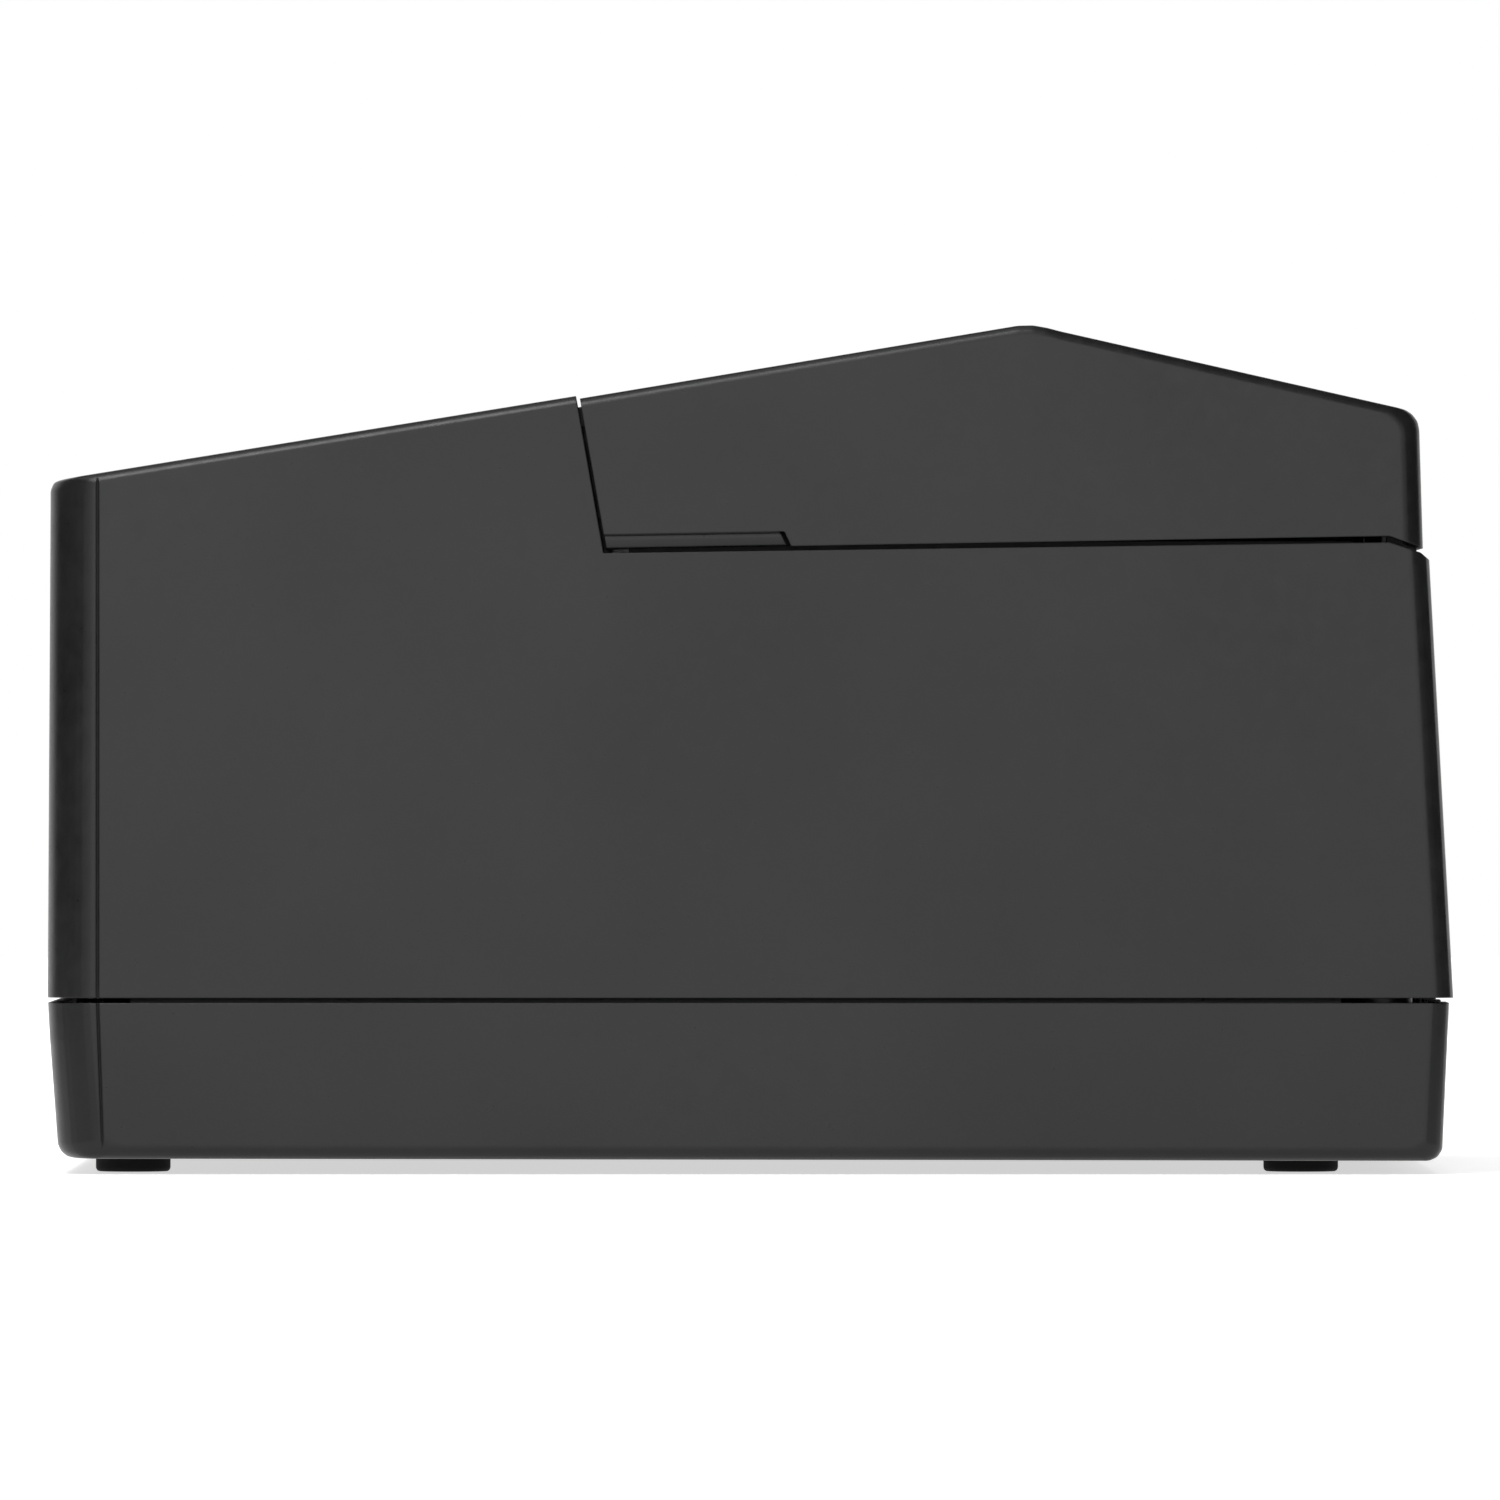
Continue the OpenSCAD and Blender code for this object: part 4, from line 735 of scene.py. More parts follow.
copies, into, place = repeater("copies on spots", [
    ("Piece", "NodeSocketObject"), ("Least Turn", "NodeSocketFloat"), ("Most Turn", "NodeSocketFloat"),
    ("Seed", "NodeSocketInt")])
piece = addNode(copies, "GeometryNodeObjectInfo", links={"Object": into.outputs["Piece"]})
turn = addNode(copies, "FunctionNodeRandomValue", {"data_type": "FLOAT"}, links={
    2: into.outputs["Least Turn"], 3: into.outputs["Most Turn"], "Seed": into.outputs["Seed"]})
spin = addNode(copies, "ShaderNodeCombineXYZ", links={2: turn.outputs[1]})
link(copies, piece.outputs["Geometry"], place.inputs["Instance"])
link(copies, spin.outputs[0], place.inputs["Rotation"])

coils, into, place = repeater("coil springs", [
    ("Turns", "NodeSocketFloat"), ("Radius", "NodeSocketFloat"), ("Wire", "NodeSocketFloat"),
    ("Length", "NodeSocketFloat")])
wire = addNode(coils, "GeometryNodeCurveSpiral", values={"Resolution": 28},
               links={"Rotations": into.outputs["Turns"], "Start Radius": into.outputs["Radius"],
                      "End Radius": into.outputs["Radius"], "Height": into.outputs["Length"]})
section = addNode(coils, "GeometryNodeCurvePrimitiveCircle", values={"Resolution": 10},
                  links={"Radius": into.outputs["Wire"]})
coil = addNode(coils, "GeometryNodeCurveToMesh", {}, {"Fill Caps": True},
               {"Curve": wire.outputs[0], "Profile Curve": section.outputs[0]})
link(coils, coil.outputs[0], place.inputs["Instance"])


def patterned(name, tree, spots, settings, material):
    bm = bmesh.new()
    for spot in spots:
        bm.verts.new(Vector(spot) * mm)
    obj = objectFrom(name, bm)
    step = obj.modifiers.new("pattern", "NODES")
    step.node_group = tree
    for item in tree.interface.items_tree:
        if item.in_out == "INPUT" and item.name in settings:
            step[item.identifier] = settings[item.name]
        if item.in_out == "INPUT" and item.name == "Material":
            step[item.identifier] = material
    return applied(obj)


def copied(name, bm, spots, material, least=0.0, most=0.0, seed=3):
    piece = objectFrom(name + "_piece", bm)
    settings = {"Piece": piece, "Least Turn": least, "Most Turn": most, "Seed": seed}
    obj = patterned(name, copies, spots, settings, material)
    bpy.data.objects.remove(piece)
    return obj


def joined(name, *objects):
    bm = bmesh.new()
    for obj in objects:
        bm.from_mesh(obj.data)
        bpy.data.objects.remove(obj)
    return objectFrom(name, bm)


def loose(obj):
    # the object's mesh as a bmesh, ready to be copied; the object goes
    bm = bmesh.new()
    bm.from_mesh(obj.data)
    bpy.data.objects.remove(obj)
    return bm


def placed(obj, matrix):
    obj.data.transform(matrix)
    return obj


def crossScrew(look):
    # pan head with a cross recess, its thread running up from the head
    r, head, high, long = look["r"], look["head"], look["high"], look["long"]
    profile = [(-high, head * 0.62), (-high * 0.86, head * 0.86), (-high * 0.55, head * 0.98), (-0.12, head),
               (0, head * 0.97), (0, r * 0.86), (0.5, r * 0.82)]
    at = 0.6
    while at < long - 1.3:
        profile += [(at, r * 0.8), (at + look["pitch"] * 0.42, r), (at + look["pitch"] * 0.58, r)]
        at += look["pitch"]
    profile += [(long - 1, r * 0.8), (long, r * 0.35)]
    obj = objectFrom("blank", turnedBar("z", (0, 0), profile, 36))
    wide, deep = head * 0.24, high * 0.62
    slotLine = [(-head * 0.58, -high - 1), (head * 0.58, -high - 1), (head * 0.58, -high + 0.05),
                (head * 0.16, -high + deep), (-head * 0.16, -high + deep), (-head * 0.58, -high + 0.05)]
    across = prism(slotLine, -wide / 2, wide / 2, "x")
    down = prism(slotLine, -wide / 2, wide / 2, "y")
    carve(obj, gather(across, down))
    return loose(obj)


def screwSet(name, look, spots, seed, matrix=Matrix.Identity(4)):
    # crosses stand as the screwdriver left them
    return placed(copied(name, crossScrew(look), spots, zinc, 0, 1.5, seed), matrix)


over = Matrix.Rotation(pi, 4, "X")
zinc = slotLooks["steel"]
caseScrew = {"r": 1.5, "head": 2.9, "high": 2.2, "long": 29, "pitch": 1.1}
screws = screwSet("case_screw_set", caseScrew, [(x, y, 5.5) for x, y in caseBosses], 7)
standIn(screws, zinc, ["case_screws"], "case")

frameScrew = {"r": 1.25, "head": 2.4, "high": 1.6, "long": 8.4, "pitch": 0.8}
rearScrew = dict(frameScrew, high=1.4)
front4 = screwSet("front_set", frameScrew, [(x, -y, -deckHigh) for x, y in frameBosses], 11, toMech @ over)
rear2 = screwSet("rear_set", rearScrew, [(x, -y, -84.4) for x, y in rearBosses], 5, over)
standIn(joined("frame_screw_set", front4, rear2), zinc, ["frame_screws"], "case")

plateScrew = {"r": 1.1, "head": 2, "high": 1.1, "long": 3.8, "pitch": 0.6}
plateHoles = [(s * 54, y, -deckHigh - 1.4) for s in both for y in (42, -3.4)]
screws = screwSet("mechanism_screw_set", plateScrew, plateHoles, 2, toMech @ over)
standIn(screws, zinc, ["mechanism_screws"], "case")

holderScrew = {"r": 1, "head": 1.9, "high": 1.2, "long": 5, "pitch": 0.6}
screws = screwSet("holder_screw_set", holderScrew, [(x, y, 12.9) for x, y in holderBosses], 13, toMech)
standIn(screws, zinc, ["holder_screws"], "lid")
print("screws ready")


# ---- turned pieces and springs of the print mechanism

def turned(name, axis, spot, profiles, bore=0.0, count=48, matrix=None):
    obj = objectFrom(name, gather(*[turnedBar(axis, spot, p, count) for p in profiles]))
    if bore:
        carve(obj, bar(axis, -120, 120, spot, bore, 0, count))
    return placed(obj, matrix) if matrix else obj


def mirroredProfile(profile):
    return [(-at, r) for at, r in reversed(profile)]


def chamfered(low, high, r, cut=0.3):
    start = [(low + cut, cut), (low, cut * 1.6), (low, r - cut), (low + cut, r)]
    return start + [(low + high - at, across) for at, across in reversed(start)]


def onCircle(spot, r, degrees):
    return (spot[0] + r * cos(radians(degrees)), spot[1] + r * sin(radians(degrees)))


# axles of the two gear trains, in the mechanism's own frame
platenSpot, cutterSpot = (2.5, 8), (-36, 8.2)
idlerSpot = onCircle(platenSpot, 14.4, 220)
motorSpot = (idlerSpot[0] - 12.6, idlerSpot[1])
driveSpot = onCircle(cutterSpot, 10.5, 235)

sleeveLine = [(-41, 5.1), (-40.85, 5.35), (-40.5, 5.5), (40.5, 5.5), (40.85, 5.35), (41, 5.1)]
roller = turned("platen_sleeve", "x", platenSpot, [sleeveLine], 2.5, 112, toMech)
standIn(roller, slotLooks["roller_rubber"], ["platen_roller"], "platen")
shaft = turned("platen_axle", "x", platenSpot, [
    [(-50.7, 0.2), (-51.1, 0.7), (-51.1, 1.75), (-50.6, 2.35), (-50.45, 2.5), (41.6, 2.5), (41.7, 2.38),
     (42.4, 2.38), (42.5, 2.5), (56.1, 2.5), (56.4, 2.1), (56.4, 0.7), (56, 0.2)]], 0, 56, toMech)
standIn(shaft, zinc, ["platen_shaft"], "platen")
bush = [(43, 3.75), (43.25, 4), (46, 4), (46, 4.8), (46.2, 5), (47.4, 5), (47.6, 4.8), (47.6, 4),
        (49.7, 4), (50, 3.7)]
bushes = turned("platen_bush_pair", "x", platenSpot, [bush, mirroredProfile(bush)], 2.54, 56, toMech)
standIn(bushes, slotLooks["acetal"], ["platen_bushes"], "lid")
pinReach = pinHalf - 0.2
pins = turned("hinge_pin_pair", "x", (hingeY, hingeZ),
              [chamfered(s * armX - pinReach, s * armX + pinReach, hinge["pin"], 0.2) for s in both], 0, 32)
standIn(pins, zinc, ["hinge_pins"], "case")
pivot = turned("head_pivot_rod", "x", (-6, -9), [chamfered(-50, 50, 1.5)], 0, 36, toMech)
standIn(pivot, zinc, ["head_pivot"], "case")
stud = turned("idler_pin", "x", idlerSpot, [
    [(48, 1.5), (50, 1.5), (50, 2.4), (50.2, 2.6), (51.6, 2.6), (51.8, 2.4), (51.8, 1.5), (56.3, 1.5),
     (56.3, 2.6), (56.75, 2.6), (56.75, 1.4), (57.2, 1.2)]], 0, 40)
# the clip at its end is open on one side
carve(stud, block((56.25, idlerSpot[0] - 0.9, idlerSpot[1]), (56.8, idlerSpot[0] + 0.9, idlerSpot[1] + 4)))
carve(stud, bar("x", 56, 57.2, idlerSpot, 1.4, 0.15), "UNION")
standIn(placed(stud, toMech), zinc, ["idler_stud"], "case")
shaft = turned("cutter_axle", "x", cutterSpot, [chamfered(-57.4, 51, 1.5)], 0, 36, toMech)
standIn(shaft, zinc, ["cutter_shaft"], "cutter_drive")

spring = {"Radius": 1.9 * mm, "Wire": 0.34 * mm}
lying = toMech @ Matrix.Rotation(-pi / 2, 4, "X")
springX, springLow, springHigh = (-30, -12, 12, 30), -10.26, -6.94
body = patterned("coil_middle", coils, [(x, -8, springLow) for x in springX],
                 dict(spring, Turns=3.6, Length=(springHigh - springLow) * mm), zinc)
ends = patterned("coil_ends", coils, [(x, -8, y) for x in springX for y in (springLow, springHigh)],
                 dict(spring, Turns=1.0, Length=0.02 * mm), zinc)
springs = placed(joined("head_spring_set", body, ends), lying)
standIn(springs, zinc, ["head_springs"], "case", 60)
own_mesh(springs)


# ---- flat cable from the board to the print head

film = {"half": 20, "off": 0.05, "thick": 0.3, "tracks": 26, "step": 2}
way = [Vector(p) for p in (mechPoint(-7.09, -2), mechPoint(-8.6, -11), mechPoint(-8.6, -18),
                           (-30.6, 22), (-30.6, 12.4))]
line = [way[0]]
for one, two in zip(way, way[1:]):
    parts = max(3, int((two - one).length / film["step"]))
    line += [one.lerp(two, (k + 1) / parts) for k in range(parts)]
for turn in range(2):
    # the bends are eased
    line = [line[0]] + [(a + b * 2 + c) / 4 for a, b, c in zip(line, line[1:], line[2:])] + [line[-1]]
near, thick = film["off"], film["off"] + film["thick"]
levels = [[(side * film["half"], y + d, z) for side, d in ((-1, near), (1, near), (1, thick), (-1, thick))]
          for y, z in line]
cable = objectFrom("head_film", ringed(levels))
filmLook, tree = newMaterial("polyimide film with copper tracks")
spot = addNode(tree, "ShaderNodeTexCoord").outputs["Object"]
bands = addNode(tree, "ShaderNodeTexWave", {"wave_type": "BANDS", "bands_direction": "X"},
                {"Scale": film["tracks"] / (film["half"] * 2 * mm) / (4 * pi), "Distortion": 0.0},
                {"Vector": spot})
edgeOf = ramped(tree, bands.outputs["Fac"], 0.42, 0.58, 0.0, 1.0)
principled(tree, {
    "Base Color": blend(tree, edgeOf, colour("#7c4316"), colour("#c27a35")),
    "Roughness": ramped(tree, edgeOf, 0, 1, 0.36, 0.24),
    "Normal": bumped(tree, edgeOf, 0.3, 0.03),
})
smooth(cable)
cable.data.materials.append(filmLook)
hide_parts("head_cable")
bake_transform(cable)


# ---- motors

feedCan = [(34, 2.2), (34, 7.4), (34.35, 8.2), (34.9, 8.65), (35.6, 8.9), (45.9, 8.9), (46, 8.7),
           (46.4, 8.7), (46.5, 8.9), (47.8, 8.9), (48, 8.7)]
feedHub = [(34.1, 3), (34.4, 3.2), (47, 3.2), (47, 3), (50.2, 3), (50.5, 2.7)]
motor = turned("feed_motor_can", "x", motorSpot, [feedCan, feedHub], 1.04, 72)
carve(motor, gather(*[bar("x", 33.5, 34.6, onCircle(motorSpot, 5.4, a), 0.8) for a in (30, 90, 150, 270)]))
y, z = motorSpot
plugLine = [(-4, -8), (-4, -10.7), (-3.7, -11), (3.7, -11), (4, -10.7), (4, -8)]
carve(motor, prism(shifted(plugLine, y, z), 36, 44), "UNION")
grooves = [block((37, y - 3 + k * 1.5, z - 11.2), (43, y - 2.6 + k * 1.5, z - 10.7)) for k in range(5)]
carve(motor, gather(block((35, y - 3.2, z - 10.2), (37.4, y + 3.2, z - 8.9)), *grooves))
standIn(placed(motor, toMech), slotLooks["motor_steel"], ["feed_motor"], "case")
driveCan = [(-48, 7.8), (-47.8, 8), (-28.4, 8), (-28.3, 7.85), (-27.9, 7.85), (-27.8, 8), (-26, 8),
            (-25.3, 7.6), (-25, 7)]
driveHubs = [[(-50.5, 2.3), (-50.3, 2.5), (-47, 2.5)], [(-25.2, 3), (-23, 3), (-22.6, 2.6)]]
motor = turned("cutter_motor_can", "x", driveSpot, [driveCan] + driveHubs, 0, 72)
carve(motor, bar("x", -60, -40, driveSpot, 1.04))
y, z = driveSpot
carve(motor, gather(*[block((-26, y + s * 5.4 - 0.3, z - 1.3), (-24.4, y + s * 5.4 + 0.3, z + 1.3))
                      for s in both]))
standIn(placed(motor, toMech), slotLooks["motor_steel"], ["cutter_motor"], "case")
print("mechanism ready")


# ---- blades: the guillotine, its counter blade and the tear edge

ground = slotLooks["blade_steel"]
bladeLine = [(-43.5, -30), (43.5, -30), (43.5, -4.4), (40, -4.4), (0, -7.6), (-40, -4.4), (-43.5, -4.4)]
blade = objectFrom("guillotine", ringed([[(x, y, 14.8) for x, y in bladeLine],
                                         [(x, y, 14.9) for x, y in bladeLine],
                                         [(x, y - (0 if y < -20 else 0.8), 15.3) for x, y in bladeLine]]))
carve(blade, gather(*bored([(x, -27) for x in (-38, 0, 38)], 14, 16, 1.3)))
standIn(placed(blade, toMech), ground, ["cutter_blade"], "cutter", 8)
counterLine = [(-1.6, 14.75), (7.2, 14.75), (7.2, 14.15), (-0.9, 14.15), (-1.6, 14.6)]
counter = objectFrom("counter_blade", prism(counterLine, -46, 46))
carve(counter, gather(*bored([(s * 44.6, 4) for s in both], 13, 16, 0.6)))
standIn(placed(counter, toMech), ground, ["fixed_blade"], "lid", 8)

tear = {"half": 42, "low": -3.2, "high": -2.4, "step": 3, "root": -5.4}
r, low, high = tear["step"] / 2, tear["low"], tear["high"]
tooth = ringed([[(-r, -0.4, low), (r, -0.4, low), (r, 0, low),
                 (0.08, 1.2, low), (-0.08, 1.2, low), (-r, 0, low)],
                [(-r, -0.4, high), (r, -0.4, high), (r - 0.06, -0.1, high - 0.1), (0.05, 1.1, low + 0.1),
                 (-0.05, 1.1, low + 0.1), (-r + 0.06, -0.1, high - 0.1)]])
toothSpots = [(tear["half"] - tear["step"] * (k + 0.5), tear["root"], 0) for k in range(28)]
teeth = copied("tear_teeth", tooth, toothSpots, ground)
edge = objectFrom("tear_base", block((-tear["half"], -10, low), (tear["half"], tear["root"] - 0.2, high)))
standIn(placed(joined("tear_edge", teeth, edge), toSlope), ground, ["tear_bar"], "case", 8)


# ---- key, lights and power rocker

def capsuleRings(levels, long, wide, x, y):
    return ringed([[(a + x, b + y, z) for a, b in capsule(long - 2 * inset, wide - 2 * inset, 16)]
                   for z, inset in levels])


keyParts = {"cap": [(-2.8, 0.1), (-2.7, 0), (-0.6, 0), (-0.38, 0.07), (-0.2, 0.22), (-0.09, 0.45),
                    (-0.05, 0.75), (-0.08, 1.2), (-0.15, 1.8), (-0.21, 2.5), (-0.24, 3.1)],
            "rim": [(-3.5, 0.15), (-3.35, 0), (-2.75, 0), (-2.6, 0.15)]}
key = objectFrom("feed_key", capsuleRings(keyParts["cap"], 15, 7.5, *keySpot))
carve(key, gather(capsuleRings(keyParts["rim"], 17, 9.5, *keySpot),
                  turnedBar("z", keySpot, [(-3.75, 1.6), (-3.65, 1.8), (-3, 1.8)])), "UNION")
standIn(placed(key, toSlope), slotLooks["button_plastic"], ["feed_button"], "button", 35)
pipeLine = [(-6.4, 1.35), (-6.15, 1.6), (-0.4, 1.6), (-0.2, 1.52), (-0.06, 1.2), (0, 0.6)]
pipes = objectFrom("light_pipe_set", gather(*[turnedBar("z", spot, pipeLine, 40) for spot in pipeSpots]))
standIn(placed(pipes, toSlope), slotLooks["clear_pipe"], ["light_pipes"], "case", 40)

rockerLine = [(-6.4, 0.4), (-6.7, 3.2), (-6.62, 3.5), (-6.3, 3.45)]
rockerLine += [(x, 2.5 + abs(x) ** 1.35 * 0.079)
               for x in (-5.2, -4, -2.8, -1.6, -0.7, 0, 0.7, 1.6, 2.8, 4, 5.2)]
rockerLine += [(6.3, 3.45), (6.62, 3.5), (6.7, 3.2), (6.4, 0.4), (2, -2.2), (-2, -2.2)]
centre = Vector((0, 0.8))
rings = [[tuple(centre + (Vector(p) - centre) * k) + (z,) for p in rockerLine]
         for z, k in ((12, 0.955), (12.12, 0.985), (12.35, 1), (20.25, 1), (20.48, 0.985), (20.6, 0.955))]
rocker = objectFrom("rocker_cap", ringed(rings))
carve(rocker, bar("z", 10.6, 22, (0, 0), 1.16, 0.2), "UNION")
placed(rocker, shift(43.5, rear - 5.1) @ Matrix.Rotation(radians(-8), 4, "Z"))
standIn(rocker, slotLooks["button_plastic"], ["power_rocker"], "rocker", 35)
print("keys ready")


# ---- sockets on the rear edge of the board, with plated contacts

gold = metal("gold plated contact", {"code": "#c8a354", "rough": 0.28, "brush": 0.2, "along": "y"})
tin, dull = slotLooks["socket_metal"], slotLooks["component_plastic"]


def rounder(x0, x1, z0, z1, yLow, yHigh, r=0.4):
    # box along Y with its four long edges rounded and its mouth edge broken
    w, h = x1 - x0, z1 - z0
    rings = []
    for y, inset in ((yLow, 0.0), (yHigh - 0.25, 0.0), (yHigh - 0.08, 0.07), (yHigh, 0.22)):
        rings.append([(a + (x0 + x1) / 2, y, b + (z0 + z1) / 2)
                      for a, b in roundBox(w - 2 * inset, h - 2 * inset, max(r - inset, 0.12), 4)])
    return ringed(rings)


def flared(line, yLow, yHigh, grow=0.35):
    # mouth cut that opens out a little at the face
    middle = Vector((sum(p[0] for p in line), sum(p[1] for p in line))) / len(line)
    out = [tuple(middle + (Vector(p) - middle) * (1 + grow / (Vector(p) - middle).length)) for p in line]
    return ringed([[(x, yLow, z) for x, z in line], [(x, yHigh - grow, z) for x, z in line],
                   [(x, yHigh, z) for x, z in out], [(x, yHigh + 3, z) for x, z in out]])


def contactWire(wide, yBack, yFront, zTop, drop):
    # sprung wire that runs forward along the roof and folds back into the mouth
    line = [(yBack, zTop), (yFront, zTop), (yFront, zTop - 0.35), (yFront - 0.4, zTop - 0.75),
            (yBack + 1.2, zTop - drop), (yBack + 1, zTop - drop + 0.4), (yFront - 1, zTop - 0.42),
            (yBack, zTop - 0.42)]
    return prism(line, -wide / 2, wide / 2)


face = rear - 1.1
jacks = [
    {"name": "drawer", "back": 80, "mouth": (-28.4, -18.6, 13.6, 20),
     "latch": (-25.6, -21.4, 11.6), "first": -26.55, "count": 6, "roof": 19.9,
     "look": dull, "slot": "component_plastic"},
    {"name": "network", "back": 78, "mouth": (-7.9, 3.9, 13.4, 20.6),
     "latch": (-4.9, 0.9, 11), "first": -6.445, "count": 8, "roof": 20.5,
     "look": tin, "slot": "socket_metal"},
]
contactPitch = 1.27
for jack in jacks:
    x0, x1, z0, z1 = socketBox(jack["name"])
    left, right, low, high = jack["mouth"]
    latchLeft, latchRight, latchLow = jack["latch"]
    step, inset = latchLow + 1.2, 0.8
    line = [(left, low), (latchLeft, low), (latchLeft, step), (latchLeft + inset, step),
            (latchLeft + inset, latchLow), (latchRight - inset, latchLow), (latchRight - inset, step),
            (latchRight, step), (latchRight, low), (right, low), (right, high), (left, high)]
    shellBox = objectFrom(jack["name"] + "_jack", rounder(x0, x1, z0, z1, jack["back"], face))
    carve(shellBox, flared(line, jack["back"] + 3.8, face))
    if jack["name"] == "network":
        # shield springs pressed out of the sheet, and a dark liner inside it
        carve(shellBox, gather(*[block((x - 0.1, face - 9, z1 - 0.18), (x + 0.1, face - 3, z1 + 1))
                                 for x in (-6.3, 1.7, -3.7, 4.3)]))
        liner = objectFrom("network_liner", ringed([[(x, y, z) for x, z in roundBox(11.76, 7.16, 0.2, 2)]
                                                    for y in (82, face - 1)]))
        placed(liner, shift(-2, 0, 17))
        carve(liner, block((-7.3, 83, 13.9), (3.3, face + 2, 21)))
        carve(liner, block((-4.9, 83, 10), (0.9, face + 2, 14.6)))
        standIn(liner, dull, ["network_socket"], "case")
    standIn(shellBox, jack["look"], [jack["name"] + "_socket"], "case")
    wires = copied(jack["name"] + "_contacts", contactWire(0.46, jack["back"] + 4, face - 4.5, 0, 3.4),
                   [(jack["first"] + contactPitch * k, 0, jack["roof"]) for k in range(jack["count"])], gold)
    standIn(wires, gold, [jack["name"] + "_socket"], "case")

usbLine = [(14.7, 11.4), (23.3, 11.4), (23.3, 17.6), (21.7, 19.2), (16.3, 19.2), (14.7, 17.6)]
usb = objectFrom("usb_shell", rounder(*socketBox("data"), 80, face, 0.5))
carve(usb, flared(usbLine, 82, face, 0.3))
carve(usb, gather(*[block((x - 0.15, face - 7, 20.75), (x + 0.15, face - 2.5, 22))
                    for x in (16.4, 18, 20, 21.6)]))
standIn(usb, tin, ["usb_socket"], "case")
tongue = objectFrom("usb_tongue", rounder(16.2, 21.8, 13.8, 16.6, 81.6, 91, 0.3))
carve(tongue, gather(*[block((x - 0.7, 84, z), (x + 0.7, 90.2, z + 0.6))
                       for x in (17.7, 20.3) for z in (13.5, 16.3)]))
standIn(tongue, dull, ["usb_socket"], "case")
pads = copied("usb_contacts", block((-0.6, 83.8, -0.16), (0.6, 90, 0.16)),
              [(x, 0, z) for x in (17.7, 20.3) for z in (13.98, 16.42)], gold)
standIn(pads, gold, ["usb_socket"], "case")

x0, x1, z0, z1 = socketBox("power")
inletSpot = ((x0 + x1) / 2, (z0 + z1) / 2)
inlet = objectFrom("inlet_body", rounder(x0, x1, z0, z1, 83, face, 0.6))
carve(inlet, turnedBar("y", inletSpot, [(87, 4.7), (face - 0.4, 4.7), (face, 5.1), (face + 3, 5.1)], 64))
carve(inlet, gather(turnedBar("y", inletSpot, [(86, 3.2), (87.8, 3.2), (88.2, 2.9)], 48),
                    block((-42.7, 86, 19.6), (-41.3, face - 1, 21.4))), "UNION")
standIn(inlet, dull, ["power_inlet"], "case")
prong = [(-0.6, 0.7), (5.2, 0.7), (5.7, 0.55), (5.95, 0.3), (6, 0.1)]
prongSpots = [(inletSpot[0] + x, 86.4, inletSpot[1] + z) for x, z in ((-1.8, 1), (1.8, 1), (0, -1.8))]
prongs = copied("inlet_pins", turnedBar("y", (0, 0), prong, 24), prongSpots, tin)
standIn(prongs, tin, ["power_inlet"], "case")
print("sockets ready")


# ---- parts on the main board

def legRow(name, count, pitch, step, heading):
    # gull wing leads in one row, turned to face out of the package
    legLine = [(0, 0.75), (0.32, 0.75), (0.5, 0.12), (1, 0.12), (1, 0), (0.38, 0), (0.2, 0.6), (0, 0.6)]
    spots = [((k - (count - 1) / 2) * pitch, 0, 0) for k in range(count)]
    row = copied(name, prism(legLine, -0.17, 0.17), spots, tin)
    return placed(row, shift(*step, boardTop) @ Matrix.Rotation(radians(heading), 4, "Z"))


def chip(x0, x1, y0, y1, high, edge=0.25):
    rings = []
    for z, k in ((0.15, edge), (high * 0.55, 0), (high, edge)):
        outline = [(x0 + k, y0 + k), (x1 - k, y0 + k), (x1 - k, y1 - k), (x0 + k, y1 - k)]
        rings.append([(x, y, boardTop + z) for x, y in outline])
    return ringed(rings)


dark = [chip(-11, 3, -17, -1, 1.4), chip(16, 28, -11, -5, 1.2), chip(-30, -20, 30.5, 37, 2, 0.35)]
dark += [chip(8.4 + 4 * k, 9.6 + 4 * k, 34.5, 36.7, 0.9, 0.05) for k in range(6)]
package = objectFrom("board_packages", gather(*dark))
carve(package, gather(bar("z", boardTop + 1.3, boardTop + 2, (-9.6, -2.4), 0.5),
                      bar("z", boardTop + 1.1, boardTop + 2, (17.3, -6.3), 0.4)))
# the head cable's connector, two pin headers and a sounder
headers, sounderSpot = (36, -50), (-41, 13)
carve(package, gather(block((-22.5, -33, boardTop), (22.5, -28.4, boardTop + 2.6)),
                      *[block((x0, -34, boardTop), (x0 + 14, -28, boardTop + 7)) for x0 in headers],
                      prism(shifted(roundBox(10, 10, 1.2), *sounderSpot), boardTop + 0.1, boardTop + 5, "z")),
      "UNION")
carve(package, gather(block((-21, -32.2, boardTop + 1), (21, -28, boardTop + 1.9)),
                      *[block((x0 + 1, -33, boardTop + 2), (x0 + 13, -28.8, boardTop + 8)) for x0 in headers],
                      bar("z", boardTop + 4.4, boardTop + 6, sounderSpot, 3.6)))
canSpots = [(x, y, boardTop) for x, y in ((34, 66), (24, 68), (-40, 62), (-28, 64), (51, 26))]
sleeve = [(0, 3.7), (0.5, 4), (1.1, 4), (1.3, 3.8), (1.6, 3.8), (1.9, 4), (8.5, 4), (8.8, 3.85), (8.85, 3.5)]
sleeves = copied("capacitor_sleeves", turnedBar("z", (0, 0), sleeve, 44), canSpots, dull)
standIn(joined("board_part_set", package, sleeves), dull, ["board_parts"], "case")
top = objectFrom("can_top", turnedBar("z", (0, 0), [(8.2, 3.2), (8.86, 3.2), (9, 3.05), (9, 2.9)], 40))
carve(top, gather(block((-2.4, -0.12, 8.8), (2.4, 0.12, 9.2)), block((-0.12, -2.4, 8.8), (0.12, 2.4, 9.2))))
tops = copied("capacitor_tops", loose(top), canSpots, slotLooks["aluminium"], 0, 1.5, 4)
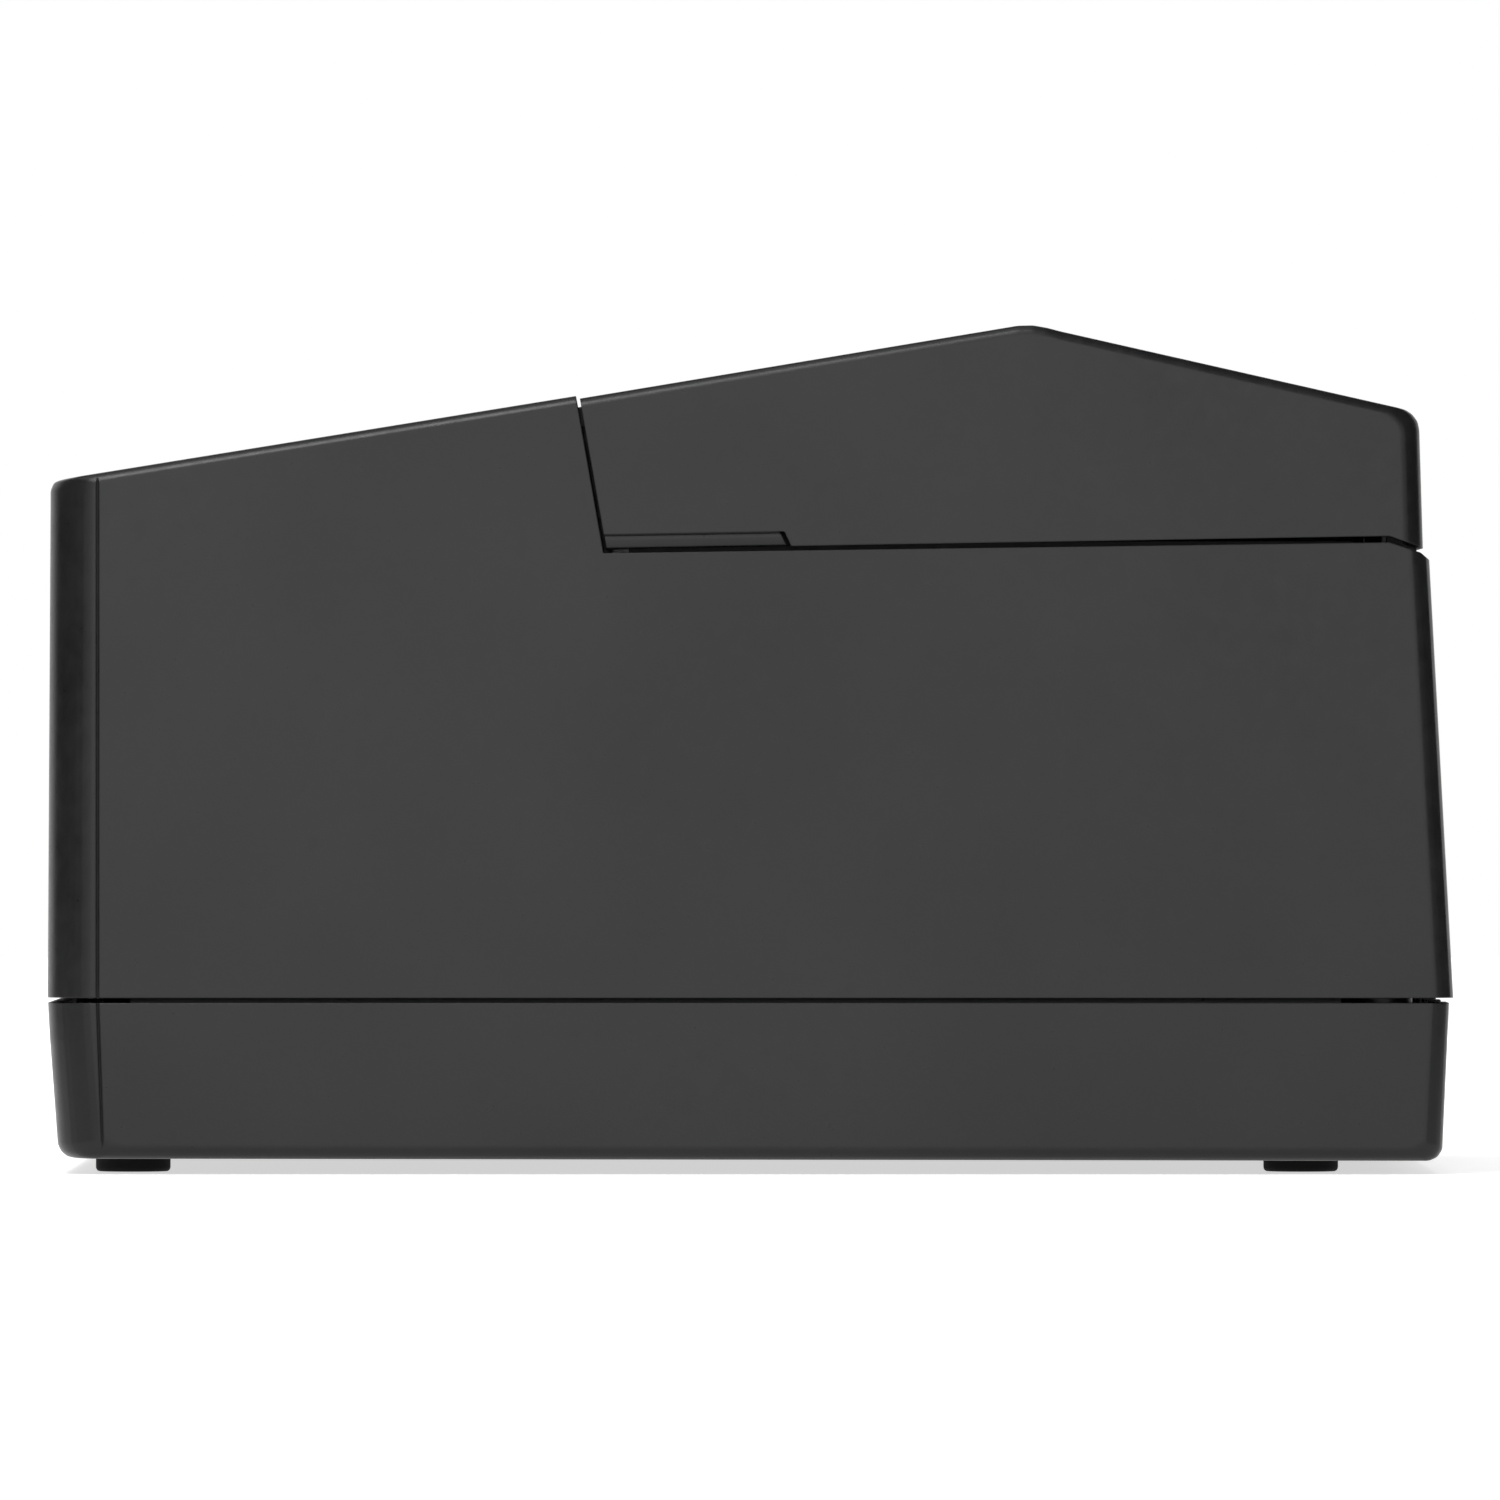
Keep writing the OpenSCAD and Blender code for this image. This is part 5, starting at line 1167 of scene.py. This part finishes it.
standIn(tops, slotLooks["aluminium"], ["board_parts"], "case")
rows = [legRow("legs_a", 13, 1, (-4, -1), 0), legRow("legs_b", 13, 1, (-4, -17), 180),
        legRow("legs_c", 13, 1, (3, -9), -90), legRow("legs_d", 13, 1, (-11, -9), 90),
        legRow("legs_e", 9, contactPitch, (22, -5), 0), legRow("legs_f", 9, contactPitch, (22, -11), 180)]
postSpots = [(x0 + 2 + 2 * k, y, boardTop) for x0 in headers for k in range(6) for y in (-31.9, -29.9)]
posts = copied("header_posts", block((-0.32, -0.32, 0.5), (0.32, 0.32, 6.2)), postSpots, tin)
standIn(joined("board_leads", *rows, posts), tin, ["board_parts"], "case")
print("board ready")


# ---- floor, light and camera

def seenDirectly(tree):
    # 1 for what the camera, a gloss or a clear piece sees, 0 for the light that falls on the object
    rays = addNode(tree, "ShaderNodeLightPath")
    seen = addNode(tree, "ShaderNodeMath", {"operation": "MAXIMUM"},
                   links={0: rays.outputs["Is Camera Ray"], 1: rays.outputs["Is Glossy Ray"]})
    return addNode(tree, "ShaderNodeMath", {"operation": "MAXIMUM"},
                   links={0: seen.outputs[0], 1: rays.outputs["Is Transmission Ray"]}).outputs[0]


floorMesh = bmesh.new()
bmesh.ops.create_grid(floorMesh, x_segments=1, y_segments=1, size=3)
floor = objectFrom("floor", floorMesh)
floor.location = (0, 0, -0.0002)
paper, tree = newMaterial("white sweep")
spot = addNode(tree, "ShaderNodeTexCoord").outputs["Object"]
outward = addNode(tree, "ShaderNodeVectorMath", {"operation": "LENGTH"}, links={0: spot}).outputs["Value"]
level = ramped(tree, outward, 0.25, 0.8, 0.62, 1.0)
lift = addNode(tree, "ShaderNodeMath", {"operation": "MULTIPLY"}, links={0: seenDirectly(tree), 1: level})
glow = addNode(tree, "ShaderNodeEmission", links={"Strength": lift.outputs[0]})
matte = addNode(tree, "ShaderNodeBsdfDiffuse", values={"Color": colour("#e6e6e6")})
sheet = addNode(tree, "ShaderNodeAddShader", links={0: glow.outputs[0], 1: matte.outputs[0]})
# seen from below, the floor is clear
under = addNode(tree, "ShaderNodeNewGeometry").outputs["Backfacing"]
clear = addNode(tree, "ShaderNodeBsdfTransparent")
oneSided = addNode(tree, "ShaderNodeMixShader", links={0: under, 1: sheet.outputs[0], 2: clear.outputs[0]})
addNode(tree, "ShaderNodeOutputMaterial", links={"Surface": oneSided.outputs[0]})
floor.data.materials.append(paper)

world = bpy.data.worlds.new("studio")
scene.world = world
world.use_nodes = True
tree = world.node_tree
tree.nodes.clear()
dim = addNode(tree, "ShaderNodeBackground", values={"Color": colour("#ffffff"), "Strength": 0.3})
white = addNode(tree, "ShaderNodeBackground", values={"Color": colour("#ffffff"), "Strength": 1.0})
mix = addNode(tree, "ShaderNodeMixShader",
              links={0: seenDirectly(tree), 1: dim.outputs[0], 2: white.outputs[0]})
addNode(tree, "ShaderNodeOutputWorld", links={"Surface": mix.outputs[0]})


def faceTowards(obj, place, aim):
    obj.location = place
    obj.rotation_euler = (Vector(aim) - Vector(place)).to_track_quat("-Z", "Y").to_euler()


def softBox(name, place, aim, wide, high, radiance, glints=True):
    # places and sizes in metres; lamps without glints only fill the shadows
    light = bpy.data.lights.new(name, "AREA")
    light.shape, light.size, light.size_y = "RECTANGLE", wide, high
    light.energy = radiance * pi * wide * high
    obj = bpy.data.objects.new(name, light)
    scene.collection.objects.link(obj)
    faceTowards(obj, place, aim)
    obj.visible_camera, obj.visible_glossy = False, glints


softBox("key", (1.3, 0, 0.15), (0, 0, 0.06), 0.84, 0.75, 1.57)
softBox("edge strip", (0.78, -0.26, 0.88), (0, 0, 0.1), 0.26, 0.8, 14)
softBox("top", (0, 0, 1.3), (0, 0, 0), 0.8, 0.8, 2.4, False)
for name, place in (("front", (-0.3, -1.4, 0.5)), ("back", (-0.3, 1.4, 0.5)), ("far side", (-1.4, 0, 0.5))):
    softBox(name, place, (0, 0, 0.06), 0.7, 0.6, 2.2, False)


def flag(name, place, aim, wide, high):
    # black card that only reflections see: it keeps the corners and the rear slope dark
    bm = bmesh.new()
    bmesh.ops.create_grid(bm, x_segments=1, y_segments=1, size=0.5)
    for v in bm.verts:
        v.co.x, v.co.y = v.co.x * wide, v.co.y * high
    card = objectFrom(name, bm)
    faceTowards(card, place, aim)
    card.visible_camera = card.visible_diffuse = card.visible_shadow = card.visible_transmission = False
    card.data.materials.append(felt)


felt, tree = newMaterial("black felt")
principled(tree, {"Base Color": colour("#0a0a0a"), "Roughness": 1.0, "Specular IOR Level": 0.0})
flag("flag front", (0.22, -0.36, 0.17), (0.22, 0, 0.17), 0.64, 0.4)
flag("flag rear", (0.22, 0.36, 0.17), (0.22, 0, 0.17), 0.64, 0.4)
flag("flag above", (0.3, 0.33, 0.4), (0.3, 0.33, 0), 1.4, 0.54)
flag("flag behind", (-0.23, -0.22, 0.4), (-0.23, -0.22, 0), 0.36, 0.54)

# what the picture takes in across is measured at the near side face
view = {"away": 3.0, "high": 0.05865, "across": 0.20775, "sensor": 36}
lens = bpy.data.cameras.new("long lens")
lens.sensor_width = view["sensor"]
lens.lens = view["sensor"] * (view["away"] - half * mm) / view["across"]
lens.clip_end = 20
camera = bpy.data.objects.new("camera", lens)
scene.collection.objects.link(camera)
camera.location = (view["away"], 0, view["high"])
camera.rotation_euler = (pi / 2, 0, pi / 2)
scene.camera = camera

scene.view_settings.view_transform = "Standard"
